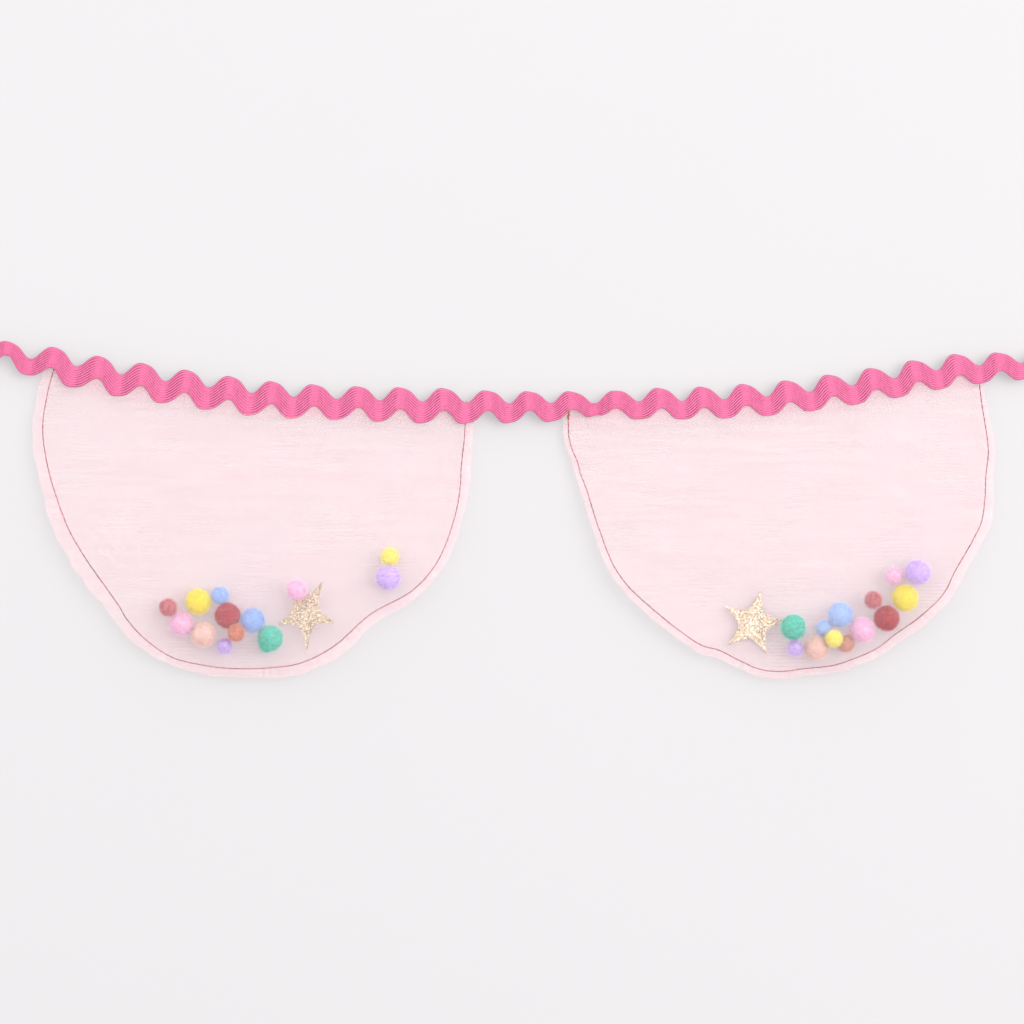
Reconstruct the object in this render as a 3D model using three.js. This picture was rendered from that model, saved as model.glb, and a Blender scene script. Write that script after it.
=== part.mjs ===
// Pom pom garland: a wavy braided tape in a shallow swag, with two half-moon pockets of sheer cloth sewn
// behind it. Each pocket is a front and a back panel joined by a curved seam, and holds thirteen small
// pom poms and one glitter star. Millimetres, +Z up, the viewer looks along +Y. The origin is on the back
// face of the tape, on its centre line at mid-span.
import * as THREE from "three";
import { mergeVertices } from "three/addons/utils/BufferGeometryUtils.js";

// Clearance between pieces that touch, and the thicknesses of the cloth and the braid.
const GAP = 0.3;
const CLOTH = 1.0;
const HEM_CLOTH = 1.3;
const BRAID = 1.1;
const BRAID_CROWN = 0.25;

// The wave of the braid: where its first crest lies, the pitch along the tape, how far the waves are drawn
// apart towards the ends, and the shape of its edges, which lean the way that the braid was plaited.
const WAVE = { first: -0.6, pitch: 17.36, drift: 8 };
const EDGE = { lean: 0.21, round: 0.46, roundLean: 0.35 };
const STEPS_PER_WAVE = 12;

// How uneven the braid is: at each x, how far its waves are shifted along it, half its width and their height.
const UNEVEN = [
  { x: -217, shift: -0.7, half: 3.4, height: 2.9 },
  { x: -200, shift: -0.7, half: 3.5, height: 2.9 },
  { x: -184, shift: 0.1, half: 4.5, height: 2.85 },
  { x: -166, shift: 0.7, half: 4.75, height: 2.85 },
  { x: -131, shift: 0.9, half: 4.8, height: 2.85 },
  { x: -114, shift: 1.3, half: 4.9, height: 2.75 },
  { x: -96, shift: 1.0, half: 4.8, height: 2.75 },
  { x: -79, shift: 0.5, half: 4.6, height: 2.65 },
  { x: -61, shift: 0.9, half: 4.5, height: 2.65 },
  { x: -44, shift: 0.1, half: 4.6, height: 2.7 },
  { x: -28, shift: 0.3, half: 4.7, height: 2.75 },
  { x: -9, shift: 0.6, half: 4.3, height: 2.45 },
  { x: 7, shift: -0.6, half: 4.15, height: 2.4 },
  { x: 24, shift: -0.7, half: 3.9, height: 2.15 },
  { x: 33.5, shift: -0.4, half: 2.6, height: 2.0 },
  { x: 43, shift: 0, half: 3.9, height: 2.15 },
  { x: 59, shift: 0.5, half: 4.15, height: 2.4 },
  { x: 76, shift: 0.25, half: 4.3, height: 2.5 },
  { x: 93, shift: -0.5, half: 4.45, height: 2.6 },
  { x: 127, shift: -0.3, half: 4.5, height: 2.6 },
  { x: 161, shift: -0.5, half: 4.5, height: 2.6 },
  { x: 178, shift: -0.4, half: 4.35, height: 2.4 },
  { x: 194, shift: -1.8, half: 4.3, height: 2.35 },
  { x: 217, shift: -1.8, half: 4.3, height: 2.35 },
];

// Where the tape's centre line runs.
const SWAG = [
  { x: -217, z: 22.3 },
  { x: -200, z: 19.8 },
  { x: -184, z: 16.7 },
  { x: -166, z: 13.0 },
  { x: -149, z: 10.0 },
  { x: -114, z: 4.85 },
  { x: -96, z: 3.1 },
  { x: -80, z: 2.1 },
  { x: -45, z: 0.9 },
  { x: 0, z: 0 },
  { x: 22, z: 0.45 },
  { x: 34, z: 1.0 },
  { x: 45, z: 0.95 },
  { x: 60, z: 1.2 },
  { x: 75, z: 1.7 },
  { x: 109, z: 3.75 },
  { x: 144, z: 8.55 },
  { x: 177, z: 14.4 },
  { x: 200, z: 16.2 },
  { x: 217, z: 17.9 },
];

// Each pocket's top edge lies a little above the tape's centre line, and its hem is turned down below it.
const TOP_ABOVE_CENTRE = 0.8;
const HEM_DEPTH = 10;

// Layers at the hem, from the tape backwards: front panel, then back panel. The seam lies between them.
const FRONT_HEM_Y = GAP + HEM_CLOTH;
const BACK_HEM_Y = FRONT_HEM_Y + GAP;
const HEM_SEAM_Y = (FRONT_HEM_Y + BACK_HEM_Y) / 2;
const BACK_LIMIT = BACK_HEM_Y + HEM_CLOTH - CLOTH;

// A panel's grid: columns along the seam, and rows as shares of the way from the hem's fold to the seam.
const COLUMNS = 40;
const FRONT_ROWS = [0, 0.2, 0.38, 0.52, 0.6, 0.67, 0.74, 0.81, 0.88, 0.94, 1];
const BACK_ROWS = [0, 0.3, 0.55, 0.7, 0.78, 0.85, 0.91, 0.96, 1];

// How the cloth takes its shape: a film stretched on a raster, held off what it covers and puffed up a little.
const FILM = { cell: 2.5, passes: 900, reach: 4.2, clear: 0.35, puff: 0.0015 };

// Seam points: x and z in the hanging plane, y its distance behind the tape, edge the cloth left outside it.
const LEFT_SEAM = [
  { x: -185.4, y: HEM_SEAM_Y, z: 18, edge: 3.2 },
  { x: -186.9, y: HEM_SEAM_Y, z: 5.5, edge: 3.8 },
  { x: -187.8, y: 0.4, z: -8.5, edge: 3.9 },
  { x: -185.4, y: -1.2, z: -25, edge: 4.3 },
  { x: -180.6, y: -2.2, z: -41, edge: 5.4 },
  { x: -176.9, y: -2.5, z: -49.9, edge: 5.8 },
  { x: -170.6, y: -2.7, z: -60.6, edge: 6.2 },
  { x: -157.6, y: -2.8, z: -79, edge: 5.2 },
  { x: -154.3, y: -2.8, z: -84.5, edge: 4.6 },
  { x: -147.3, y: -2.7, z: -92.4, edge: 3.8 },
  { x: -136.5, y: -1.8, z: -100, edge: 3.2 },
  { x: -125, y: -1.4, z: -103.1, edge: 3.4 },
  { x: -112, y: -1.2, z: -104.7, edge: 3.6 },
  { x: -97, y: -1.3, z: -104.4, edge: 4.0 },
  { x: -85, y: -1.5, z: -102.6, edge: 4.4 },
  { x: -72, y: -1.9, z: -96.2, edge: 4.6 },
  { x: -56.5, y: -2.5, z: -82.9, edge: 4.0 },
  { x: -39.5, y: -2.2, z: -73.1, edge: 3.2 },
  { x: -29.7, y: -1.7, z: -61.6, edge: 3.2 },
  { x: -22.8, y: -0.7, z: -43.5, edge: 3.4 },
  { x: -20.8, y: 0.1, z: -32, edge: 3.6 },
  { x: -20.3, y: 0.6, z: -23.5, edge: 3.8 },
  { x: -19, y: HEM_SEAM_Y, z: -10.5, edge: 3.6 },
  { x: -18.5, y: HEM_SEAM_Y, z: 1.3, edge: 3.4 },
];
const RIGHT_SEAM = [
  { x: 22.6, y: HEM_SEAM_Y, z: 1, edge: 2.0 },
  { x: 22.5, y: HEM_SEAM_Y, z: -10.5, edge: 2.0 },
  { x: 25.5, y: 0.8, z: -20, edge: 2.0 },
  { x: 29.4, y: -0.6, z: -31.8, edge: 2.4 },
  { x: 34.4, y: -1.7, z: -47.4, edge: 2.6 },
  { x: 40.5, y: -2.3, z: -63, edge: 2.6 },
  { x: 45.8, y: -2.5, z: -70.9, edge: 2.8 },
  { x: 51.7, y: -2.6, z: -76.8, edge: 3.0 },
  { x: 68, y: -2.5, z: -90.2, edge: 3.2 },
  { x: 76.5, y: -2, z: -95.6, edge: 3.2 },
  { x: 82.5, y: -1.5, z: -97.2, edge: 3.2 },
  { x: 91, y: -1.1, z: -101.4, edge: 3.2 },
  { x: 99, y: -0.8, z: -104.9, edge: 3.0 },
  { x: 107.5, y: -0.8, z: -105.9, edge: 3.0 },
  { x: 117, y: -0.8, z: -104.8, edge: 3.0 },
  { x: 128.5, y: -0.9, z: -103.5, edge: 3.0 },
  { x: 138, y: -1.1, z: -100.4, edge: 3.2 },
  { x: 146.2, y: -1.2, z: -96.6, edge: 3.4 },
  { x: 154, y: -1.5, z: -90.6, edge: 3.6 },
  { x: 162, y: -1.8, z: -85, edge: 3.6 },
  { x: 172.4, y: -2.2, z: -75.2, edge: 3.6 },
  { x: 177.3, y: -2.3, z: -65.8, edge: 3.8 },
  { x: 187.8, y: -1.6, z: -46.5, edge: 3.8 },
  { x: 189.4, y: -1.1, z: -37.5, edge: 3.5 },
  { x: 189.9, y: -0.6, z: -28, edge: 3.2 },
  { x: 191, y: 0.3, z: -17, edge: 2.7 },
  { x: 188.4, y: HEM_SEAM_Y, z: 2.5, edge: 2.0 },
  { x: 186.9, y: HEM_SEAM_Y, z: 15.8, edge: 1.8 },
];

// Pom poms: ahead is how far each sits in front of one that rests against the back panel.
const LEFT_POMS = [
  { name: "maroon_small", colour: "maroon", x: -137.3, z: -80.2, radius: 3.35, ahead: 3.0 },
  { name: "yellow_big", colour: "yellow", x: -125.5, z: -77.9, radius: 4.9, ahead: 0 },
  { name: "blue_small", colour: "blue", x: -116.8, z: -75.6, radius: 3.35, ahead: 0.8 },
  { name: "pink_big", colour: "pink", x: -131.8, z: -86.8, radius: 4.8, ahead: 0 },
  { name: "peach_big", colour: "peach", x: -123.7, z: -90.9, radius: 4.8, ahead: 0.6 },
  { name: "maroon_big", colour: "maroon", x: -113.5, z: -83.8, radius: 4.9, ahead: 0 },
  { name: "terracotta_small", colour: "terracotta", x: -110.2, z: -89.7, radius: 3.35, ahead: 5.0 },
  { name: "lilac_small", colour: "lilac", x: -115.1, z: -95.7, radius: 3.1, ahead: 1.0 },
  { name: "blue_big", colour: "blue", x: -103.4, z: -85.7, radius: 4.75, ahead: 0 },
  { name: "green_big", colour: "green", x: -97.0, z: -92.1, radius: 4.9, ahead: 0.4 },
  { name: "pink_small", colour: "pink", x: -85.8, z: -73.0, radius: 4.0, ahead: 4.4 },
  { name: "yellow_small", colour: "yellow", x: -49.0, z: -60.4, radius: 3.4, ahead: 0.4 },
  { name: "lilac_big", colour: "lilac", x: -49.4, z: -67.9, radius: 4.75, ahead: 0.4 },
];
const RIGHT_POMS = [
  { name: "green_big", colour: "green", x: 112.4, z: -88.0, radius: 4.85, ahead: 2.0 },
  { name: "lilac_small", colour: "lilac", x: 113.3, z: -96.5, radius: 3.1, ahead: 1.4 },
  { name: "peach_big", colour: "peach", x: 122.0, z: -96.2, radius: 4.75, ahead: 0 },
  { name: "blue_big", colour: "blue", x: 131.2, z: -83.3, radius: 4.85, ahead: 0 },
  { name: "blue_small", colour: "blue", x: 125.2, z: -88.5, radius: 3.3, ahead: 0.6 },
  { name: "yellow_small", colour: "yellow", x: 128.3, z: -92.4, radius: 3.2, ahead: 6.0 },
  { name: "terracotta_small", colour: "terracotta", x: 133.9, z: -94.6, radius: 3.35, ahead: 0.6 },
  { name: "pink_big", colour: "pink", x: 139.8, z: -89.2, radius: 4.9, ahead: 0.4 },
  { name: "maroon_small", colour: "maroon", x: 144.4, z: -77.2, radius: 3.35, ahead: 3.0 },
  { name: "maroon_big", colour: "maroon", x: 149.9, z: -84.5, radius: 4.85, ahead: 0 },
  { name: "yellow_big", colour: "yellow", x: 157.2, z: -76.4, radius: 5.0, ahead: 0 },
  { name: "pink_small", colour: "pink", x: 153.1, z: -67.8, radius: 3.45, ahead: 0.6 },
  { name: "lilac_big", colour: "lilac", x: 162.2, z: -66.2, radius: 4.95, ahead: 0.4 },
];

// A pom pom's form: its pile is drawn in by up to depth of its radius, in tufts of these frequencies. One
// with a radius over the fine value has more faces.
const TUFT = { depth: 0.05, x: 2.3, y: 2.9, z: 2.6, fine: 4.5 };
const SETTLE_PASSES = 300;

// Stars: waist is the inner corners' radius as a share of the points'. Each arm is hollow-sided: shank is the
// radius of the bend in its sides, and shankTurn that bend's angle from the arm's middle. spin turns a star in
// its own plane, squeeze narrows it, and tilt swings its left side back. inset is where the cloth bears on it.
const STAR = { thick: 1.2, waist: 0.43, points: 5, shank: 0.66, shankTurn: 0.135, inset: 0.4 };
const LEFT_STAR = { x: -82.5, y: -2.5, z: -82.2, radius: 14.7, spin: 56, squeeze: 0.86, tilt: 18 };
const RIGHT_STAR = { x: 96.9, y: 1.0, z: -86.7, radius: 13.5, spin: 77, squeeze: 1, tilt: 0 };

const COLOURS = {
  tape: 0xf0619a,
  cloth: 0xfbdfe6,
  gold: 0xe3cf9f,
  maroon: 0xb0565f,
  yellow: 0xf8e56f,
  blue: 0xa9b9f7,
  pink: 0xfbb4dc,
  peach: 0xf6c3b4,
  terracotta: 0xd98a74,
  lilac: 0xd9bdfb,
  green: 0x5fcfae,
};

const finish = (colour, roughness = 0.9, metalness = 0) =>
  new THREE.MeshStandardMaterial({ color: COLOURS[colour], roughness, metalness });

// A smooth curve through points of the tables above.
const curveThrough = (points) => {
  const curve = new THREE.CatmullRomCurve3(
    points.map(({ x, y = 0, z }) => new THREE.Vector3(x, y, z)),
    false,
    "centripetal",
  );
  curve.arcLengthDivisions = 2000;
  return curve;
};

// A closed mesh from points and triangles, with coincident points joined and its faces turned outwards.
function closedSolid(points, triangles) {
  const geometry = new THREE.BufferGeometry();
  const numbers = points.flatMap(({ x, y, z }) => [x, y, z]);
  geometry.setAttribute("position", new THREE.Float32BufferAttribute(numbers, 3));
  geometry.setIndex(triangles.flat());
  const merged = mergeVertices(geometry, 1e-3);
  const index = merged.index.array;
  const at = (i) => new THREE.Vector3().fromBufferAttribute(merged.attributes.position, i);
  const kept = [];
  let volume = 0;
  for (let i = 0; i < index.length; i += 3) {
    const [a, b, c] = [index[i], index[i + 1], index[i + 2]];
    if (a === b || b === c || a === c) continue;
    kept.push([a, b, c]);
    volume += at(a).dot(at(b).cross(at(c)));
  }
  merged.setIndex(kept.flatMap(([a, b, c]) => (volume < 0 ? [a, c, b] : [a, b, c])));
  merged.computeVertexNormals();
  return merged;
}

function namedMesh(name, geometry, material) {
  const mesh = new THREE.Mesh(geometry, material);
  mesh.name = name;
  return mesh;
}

// The tape

const swag = curveThrough(SWAG);

// The braid's unevenness at x.
function unevenAt(x) {
  const next = UNEVEN.findIndex((row, i) => i > 0 && (x < row.x || i === UNEVEN.length - 1));
  const [a, b] = [UNEVEN[next - 1], UNEVEN[next]];
  const share = THREE.MathUtils.clamp((x - a.x) / (b.x - a.x), 0, 1);
  const at = (key) => THREE.MathUtils.lerp(a[key], b[key], share);
  return { shift: at("shift"), half: at("half"), height: at("height") };
}

// How far an edge of the braid stands from the centre line: side is 1 for the top edge, -1 for the bottom.
const edgeOffset = (phase, side, { half, height }) =>
  side * half + height * Math.cos(phase - EDGE.lean) - side * EDGE.round * Math.cos(2 * (phase - EDGE.roundLean));

function tape() {
  const length = swag.getLength();
  const steps = Math.round((length / WAVE.pitch) * STEPS_PER_WAVE);
  const points = [];
  for (let i = 0; i <= steps; i++) {
    const share = i / steps;
    const centre = swag.getPointAt(share);
    const along = swag.getTangentAt(share);
    const uneven = unevenAt(centre.x);
    const run = share * length - WAVE.first + WAVE.drift * (share - 0.5) ** 2 - uneven.shift;
    const phase = (2 * Math.PI * run) / WAVE.pitch;
    const top = edgeOffset(phase, 1, uneven);
    const bottom = edgeOffset(phase, -1, uneven);
    const place = (offset, y) => new THREE.Vector3(centre.x - along.z * offset, y, centre.z + along.x * offset);
    points.push(
      place(top, 0),
      place(bottom, 0),
      place(bottom, -BRAID),
      place((top + bottom) / 2, -BRAID - BRAID_CROWN),
      place(top, -BRAID),
    );
  }
  const ring = points.length / (steps + 1);
  const triangles = [];
  for (let i = 0; i < steps; i++)
    for (let k = 0; k < ring; k++) {
      const [a, b] = [i * ring + k, i * ring + ((k + 1) % ring)];
      triangles.push([a, b, a + ring], [b, b + ring, a + ring]);
    }
  const last = steps * ring;
  for (let k = 1; k < ring - 1; k++) triangles.push([0, k + 1, k], [last, last + k, last + k + 1]);
  return namedMesh("tape", closedSolid(points, triangles), finish("tape", 0.75));
}

// The pom poms

// Places each pom pom by its own depth, then eases neighbours apart until they only touch.
function settled(poms) {
  const rest = (pom) => BACK_LIMIT - GAP - pom.radius;
  const centres = poms.map((pom) => new THREE.Vector3(pom.x, rest(pom) - pom.ahead, pom.z));
  for (let pass = 0; pass < SETTLE_PASSES; pass++)
    for (let i = 0; i < poms.length; i++)
      for (let k = i + 1; k < poms.length; k++) {
        const apart = centres[k].clone().sub(centres[i]);
        const short = poms[i].radius + poms[k].radius + GAP - apart.length();
        if (short <= 0) continue;
        apart.setLength(short / 2);
        centres[i].sub(apart);
        centres[k].add(apart);
        centres[i].y = Math.min(centres[i].y, rest(poms[i]));
        centres[k].y = Math.min(centres[k].y, rest(poms[k]));
      }
  return centres;
}

// A ball of short pile, a little lumpy.
function pomPom(radius) {
  const ball = new THREE.IcosahedronGeometry(radius, radius > TUFT.fine ? 2 : 1);
  ball.deleteAttribute("normal");
  ball.deleteAttribute("uv");
  const merged = mergeVertices(ball, 1e-3);
  const position = merged.attributes.position;
  const point = new THREE.Vector3();
  for (let i = 0; i < position.count; i++) {
    point.fromBufferAttribute(position, i);
    const across = Math.sin(TUFT.x * point.x + 1) * Math.sin(TUFT.y * point.y + 2);
    const tuft = Math.abs(across * Math.sin(TUFT.z * point.z + radius));
    point.multiplyScalar(1 - TUFT.depth * tuft);
    position.setXYZ(i, point.x, point.y, point.z);
  }
  merged.computeVertexNormals();
  return merged;
}

// The stars

function star(name, { x, y, z, radius, spin, squeeze, tilt }) {
  const corners = [];
  for (let i = 0; i < STAR.points; i++) {
    const middle = THREE.MathUtils.degToRad(spin) + (2 * Math.PI * i) / STAR.points;
    const corner = (reach, turn) => {
      const angle = middle + turn;
      corners.push(new THREE.Vector2(squeeze * radius * reach * Math.cos(angle), radius * reach * Math.sin(angle)));
    };
    corner(STAR.shank, -STAR.shankTurn);
    corner(1, 0);
    corner(STAR.shank, STAR.shankTurn);
    corner(STAR.waist, Math.PI / STAR.points);
  }
  const outline = new THREE.Shape(corners);
  const solid = new THREE.ExtrudeGeometry(outline, { depth: STAR.thick, bevelEnabled: false });
  solid.translate(0, 0, -STAR.thick / 2);
  solid.rotateX(Math.PI / 2);
  const mesh = namedMesh(name, solid, finish("gold", 0.45, 0.4));
  mesh.position.set(x, y, z);
  mesh.rotation.z = THREE.MathUtils.degToRad(-tilt);
  return mesh;
}

// Small beads along a star's outline, in part space, which hold the cloth off it.
function starBeads(mesh) {
  mesh.updateMatrix();
  const position = mesh.geometry.attributes.position;
  const beads = [];
  for (let i = 0; i < position.count; i++) {
    const corner = new THREE.Vector3().fromBufferAttribute(position, i).applyMatrix4(mesh.matrix);
    beads.push({ centre: corner, radius: GAP });
    const towards = new THREE.Vector3(mesh.position.x, corner.y, mesh.position.z);
    beads.push({ centre: corner.clone().lerp(towards, STAR.inset), radius: GAP });
  }
  return beads;
}

// The pockets

// The film that a panel forms inside a loop: its y at any x and z. toward is -1 for the front panel, which
// the filling pushes to the viewer, and 1 for the back panel.
function film(loop, filling, toward) {
  const box = new THREE.Box3().setFromPoints(loop).expandByScalar(3 * FILM.cell);
  const across = Math.ceil((box.max.x - box.min.x) / FILM.cell);
  const up = Math.ceil((box.max.z - box.min.z) / FILM.cell);
  const height = new Float64Array(across * up);
  const held = new Float64Array(across * up).fill(-Infinity);
  const free = new Uint8Array(across * up);
  for (let cell = 0; cell < height.length; cell++) {
    const x = box.min.x + (cell % across) * FILM.cell;
    const z = box.min.z + Math.floor(cell / across) * FILM.cell;
    let nearest = Infinity;
    loop.forEach((p, n) => {
      const q = loop[(n + 1) % loop.length];
      if (p.z > z !== q.z > z && x < p.x + ((z - p.z) / (q.z - p.z)) * (q.x - p.x)) free[cell] ^= 1;
      const distance = Math.hypot(p.x - x, p.z - z);
      if (distance >= nearest) return;
      nearest = distance;
      height[cell] = toward * p.y + GAP / 2;
    });
    for (const { centre, radius } of filling) {
      const reach = radius + FILM.clear;
      const off = Math.max(0, Math.hypot(centre.x - x, centre.z - z) - FILM.reach);
      if (off < reach) held[cell] = Math.max(held[cell], toward * centre.y + Math.sqrt(reach ** 2 - off ** 2));
    }
  }
  for (let pass = 0; pass < FILM.passes; pass++)
    for (let cell = across; cell < height.length - across; cell++) {
      if (!free[cell]) continue;
      const mean = (height[cell - 1] + height[cell + 1] + height[cell - across] + height[cell + across]) / 4;
      height[cell] = Math.max(mean + FILM.puff, held[cell]);
    }
  return (x, z) => {
    const [u, v] = [(x - box.min.x) / FILM.cell, (z - box.min.z) / FILM.cell];
    const cell = Math.floor(v) * across + Math.floor(u);
    const [s, t] = [u - Math.floor(u), v - Math.floor(v)];
    const below = THREE.MathUtils.lerp(height[cell], height[cell + 1], s);
    const above = THREE.MathUtils.lerp(height[cell + across], height[cell + across + 1], s);
    return toward * THREE.MathUtils.lerp(below, above, t);
  };
}

// A pocket's outline, column by column: the points of its top edge, its hem's fold, its seam and its edge.
function outlineOf(table) {
  const seamCurve = curveThrough(table);
  const first = table[0];
  const last = table[table.length - 1];
  const between = SWAG.filter(({ x }) => x > first.x && x < last.x);
  const topCurve = curveThrough([first, ...between.map(({ x, z }) => ({ x, z: z + TOP_ABOVE_CENTRE })), last]);
  const centre = new THREE.Vector3((first.x + last.x) / 2, 0, 0);
  const columns = [];
  for (let i = 0; i <= COLUMNS; i++) {
    const share = i / COLUMNS;
    const seam = seamCurve.getPointAt(share);
    const top = topCurve.getPointAt(share).setY(HEM_SEAM_Y);
    const turned = Math.min(1, HEM_DEPTH / Math.max(top.z - seam.z, GAP));
    const fold = top.clone().lerp(seam, turned).setY(HEM_SEAM_Y);
    if (turned === 1) seam.setY(HEM_SEAM_Y);
    const station = seamCurve.getUtoTmapping(share) * (table.length - 1);
    const before = Math.min(Math.floor(station), table.length - 2);
    const width = THREE.MathUtils.lerp(table[before].edge, table[before + 1].edge, station - before);
    const along = seamCurve.getTangentAt(share);
    const out = new THREE.Vector3(along.z, 0, -along.x).setLength(width);
    if (out.dot(seam.clone().sub(centre)) < 0) out.negate();
    columns.push({ top, fold, seam, edge: seam.clone().add(out), open: turned < 1 });
  }
  return columns;
}

// One panel: a sheet with its inner face on the film, and its outer face a cloth's thickness further out.
function panel(name, columns, rows, filling, toward) {
  const below = columns.filter(({ open }) => open);
  const loop = [...below.map(({ seam }) => seam), ...below.map(({ fold }) => fold).reverse()];
  const surface = film(loop, filling, toward);
  const inner = [];
  const outer = [];
  const add = (point, y, thick) => {
    inner.push(new THREE.Vector3(point.x, y, point.z));
    outer.push(new THREE.Vector3(point.x, y + toward * thick, point.z));
  };
  const apart = (toward * GAP) / 2;
  columns.forEach(({ top, fold, seam, edge, open }) => {
    add(top, top.y + apart, HEM_CLOTH);
    rows.forEach((row) => {
      const point = fold.clone().lerp(seam, row);
      const inside = open && row > 0 && row < 1;
      add(point, inside ? surface(point.x, point.z) : point.y + apart, open && row > 0 ? CLOTH : HEM_CLOTH);
    });
    add(edge, edge.y + apart, CLOTH);
  });
  const deep = rows.length + 2;
  const count = inner.length;
  const triangles = [];
  const rim = (a, b) => triangles.push([b, a, b + count], [a, a + count, b + count]);
  for (let i = 0; i < COLUMNS; i++) {
    const column = i * deep;
    for (let a = column; a < column + deep - 1; a++) {
      triangles.push([a, a + 1, a + deep], [a + 1, a + deep + 1, a + deep]);
      triangles.push([a + count, a + deep + count, a + 1 + count]);
      triangles.push([a + 1 + count, a + deep + count, a + deep + 1 + count]);
    }
    rim(column + deep, column);
    rim(column + deep - 1, column + 2 * deep - 1);
  }
  for (let j = 0; j < deep - 1; j++) {
    rim(j, j + 1);
    rim(COLUMNS * deep + j + 1, COLUMNS * deep + j);
  }
  return namedMesh(name, closedSolid([...inner, ...outer], triangles), finish("cloth"));
}

function pocket(side, table, poms, starPlace) {
  const group = new THREE.Group();
  const centres = settled(poms);
  const starMesh = star(`${side}_star`, starPlace);
  const filling = [...poms.map(({ radius }, i) => ({ centre: centres[i], radius })), ...starBeads(starMesh)];
  const columns = outlineOf(table);
  group.add(panel(`${side}_front_panel`, columns, FRONT_ROWS, filling, -1));
  group.add(panel(`${side}_back_panel`, columns, BACK_ROWS, filling, 1));
  poms.forEach(({ name, colour, radius }, i) => {
    const ball = namedMesh(`${side}_pom_${name}`, pomPom(radius), finish(colour));
    ball.position.copy(centres[i]);
    group.add(ball);
  });
  group.add(starMesh);
  return group;
}

const garland = new THREE.Group();
garland.add(
  tape(),
  pocket("left", LEFT_SEAM, LEFT_POMS, LEFT_STAR),
  pocket("right", RIGHT_SEAM, RIGHT_POMS, RIGHT_STAR),
);

export default garland;
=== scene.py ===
"""Dresses the pom pom garland: a plaited ric-rac tape, two sheer organza pockets sewn behind it, and the
fuzzy pom poms and glitter stars that they hold. Every piece is built in metres in the part's own frame; the
tables below are in millimetres."""

import logging
import math
from dataclasses import dataclass, field
from enum import Enum
from typing import Any, Optional, Sequence, Union

import bmesh
import bpy
import numpy as np
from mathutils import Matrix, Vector

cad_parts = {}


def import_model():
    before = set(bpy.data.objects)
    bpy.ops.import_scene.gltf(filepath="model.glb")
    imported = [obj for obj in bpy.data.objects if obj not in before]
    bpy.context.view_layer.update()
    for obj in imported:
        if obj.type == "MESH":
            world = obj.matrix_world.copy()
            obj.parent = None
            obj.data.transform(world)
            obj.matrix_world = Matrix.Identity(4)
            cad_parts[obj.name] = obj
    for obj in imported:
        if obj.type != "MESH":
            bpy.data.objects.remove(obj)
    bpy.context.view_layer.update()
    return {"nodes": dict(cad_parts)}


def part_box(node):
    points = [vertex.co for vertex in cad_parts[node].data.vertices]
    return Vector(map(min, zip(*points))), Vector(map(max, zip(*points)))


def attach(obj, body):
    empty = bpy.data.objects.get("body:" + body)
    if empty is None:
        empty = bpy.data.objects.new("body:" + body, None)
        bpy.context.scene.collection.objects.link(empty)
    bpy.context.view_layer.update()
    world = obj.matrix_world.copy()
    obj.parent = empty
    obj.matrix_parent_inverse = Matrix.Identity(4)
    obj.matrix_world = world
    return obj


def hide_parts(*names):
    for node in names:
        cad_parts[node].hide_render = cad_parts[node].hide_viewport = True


LOG = logging.getLogger("garland")
MM = 0.001
TURN = 2 * math.pi
BODY = "root"

Colour = tuple[float, float, float]
Place = tuple[float, float, float]
Ramp = tuple[float, float, float, float]
Value = Union[float, int, bool, tuple, "Term"]
Inputs = dict[str, Value]
Socket = bpy.types.NodeSocket
Piece = bpy.types.Object
Lines = dict[str, np.ndarray]


class Side(Enum):
    """Which pocket of the garland a piece belongs to."""

    LEFT = "left"
    RIGHT = "right"


class Face(Enum):
    """Which panel of a pocket: the value is the way along Y in which the filling pushes it."""

    FRONT = -1.0
    BACK = 1.0


class Pile(Enum):
    """The dyed colours of the pom poms' pile, as linear red, green and blue."""

    MAROON = (0.72, 0.02, 0.055)
    YELLOW = (0.98, 0.94, 0.03)
    BLUE = (0.50, 0.76, 1.0)
    PINK = (0.98, 0.78, 0.92)
    PEACH = (0.97, 0.83, 0.77)
    TERRACOTTA = (0.84, 0.43, 0.26)
    LILAC = (0.84, 0.74, 1.0)
    GREEN = (0.003, 0.86, 0.73)


@dataclass(frozen=True)
class Term:
    """An output of a node, with which one reckons as with a number."""

    bench: "Bench"
    socket: Socket

    def take(self, operation: str, *others: Value) -> "Term":
        """Applies a math operation, such as SINE, to this value and the others."""
        return self.bench.row("ShaderNodeMath", self, *others, operation=operation)

    def __add__(self, other: Value) -> "Term":
        """Adds a value."""
        return self.take("ADD", other)

    def __sub__(self, other: Value) -> "Term":
        """Takes a value away."""
        return self.take("SUBTRACT", other)

    def __mul__(self, other: Value) -> "Term":
        """Multiplies by a value."""
        return self.take("MULTIPLY", other)

    def __pow__(self, other: Value) -> "Term":
        """Raises to a power."""
        return self.take("POWER", other)

    def ramp(self, low: float, high: float, start: float, end: float) -> "Term":
        """Maps low..high to start..end, held at both ends."""
        inputs = {"Value": self, "From Min": low, "From Max": high, "To Min": start, "To Max": end}
        return self.bench.out("ShaderNodeMapRange", inputs)


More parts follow.
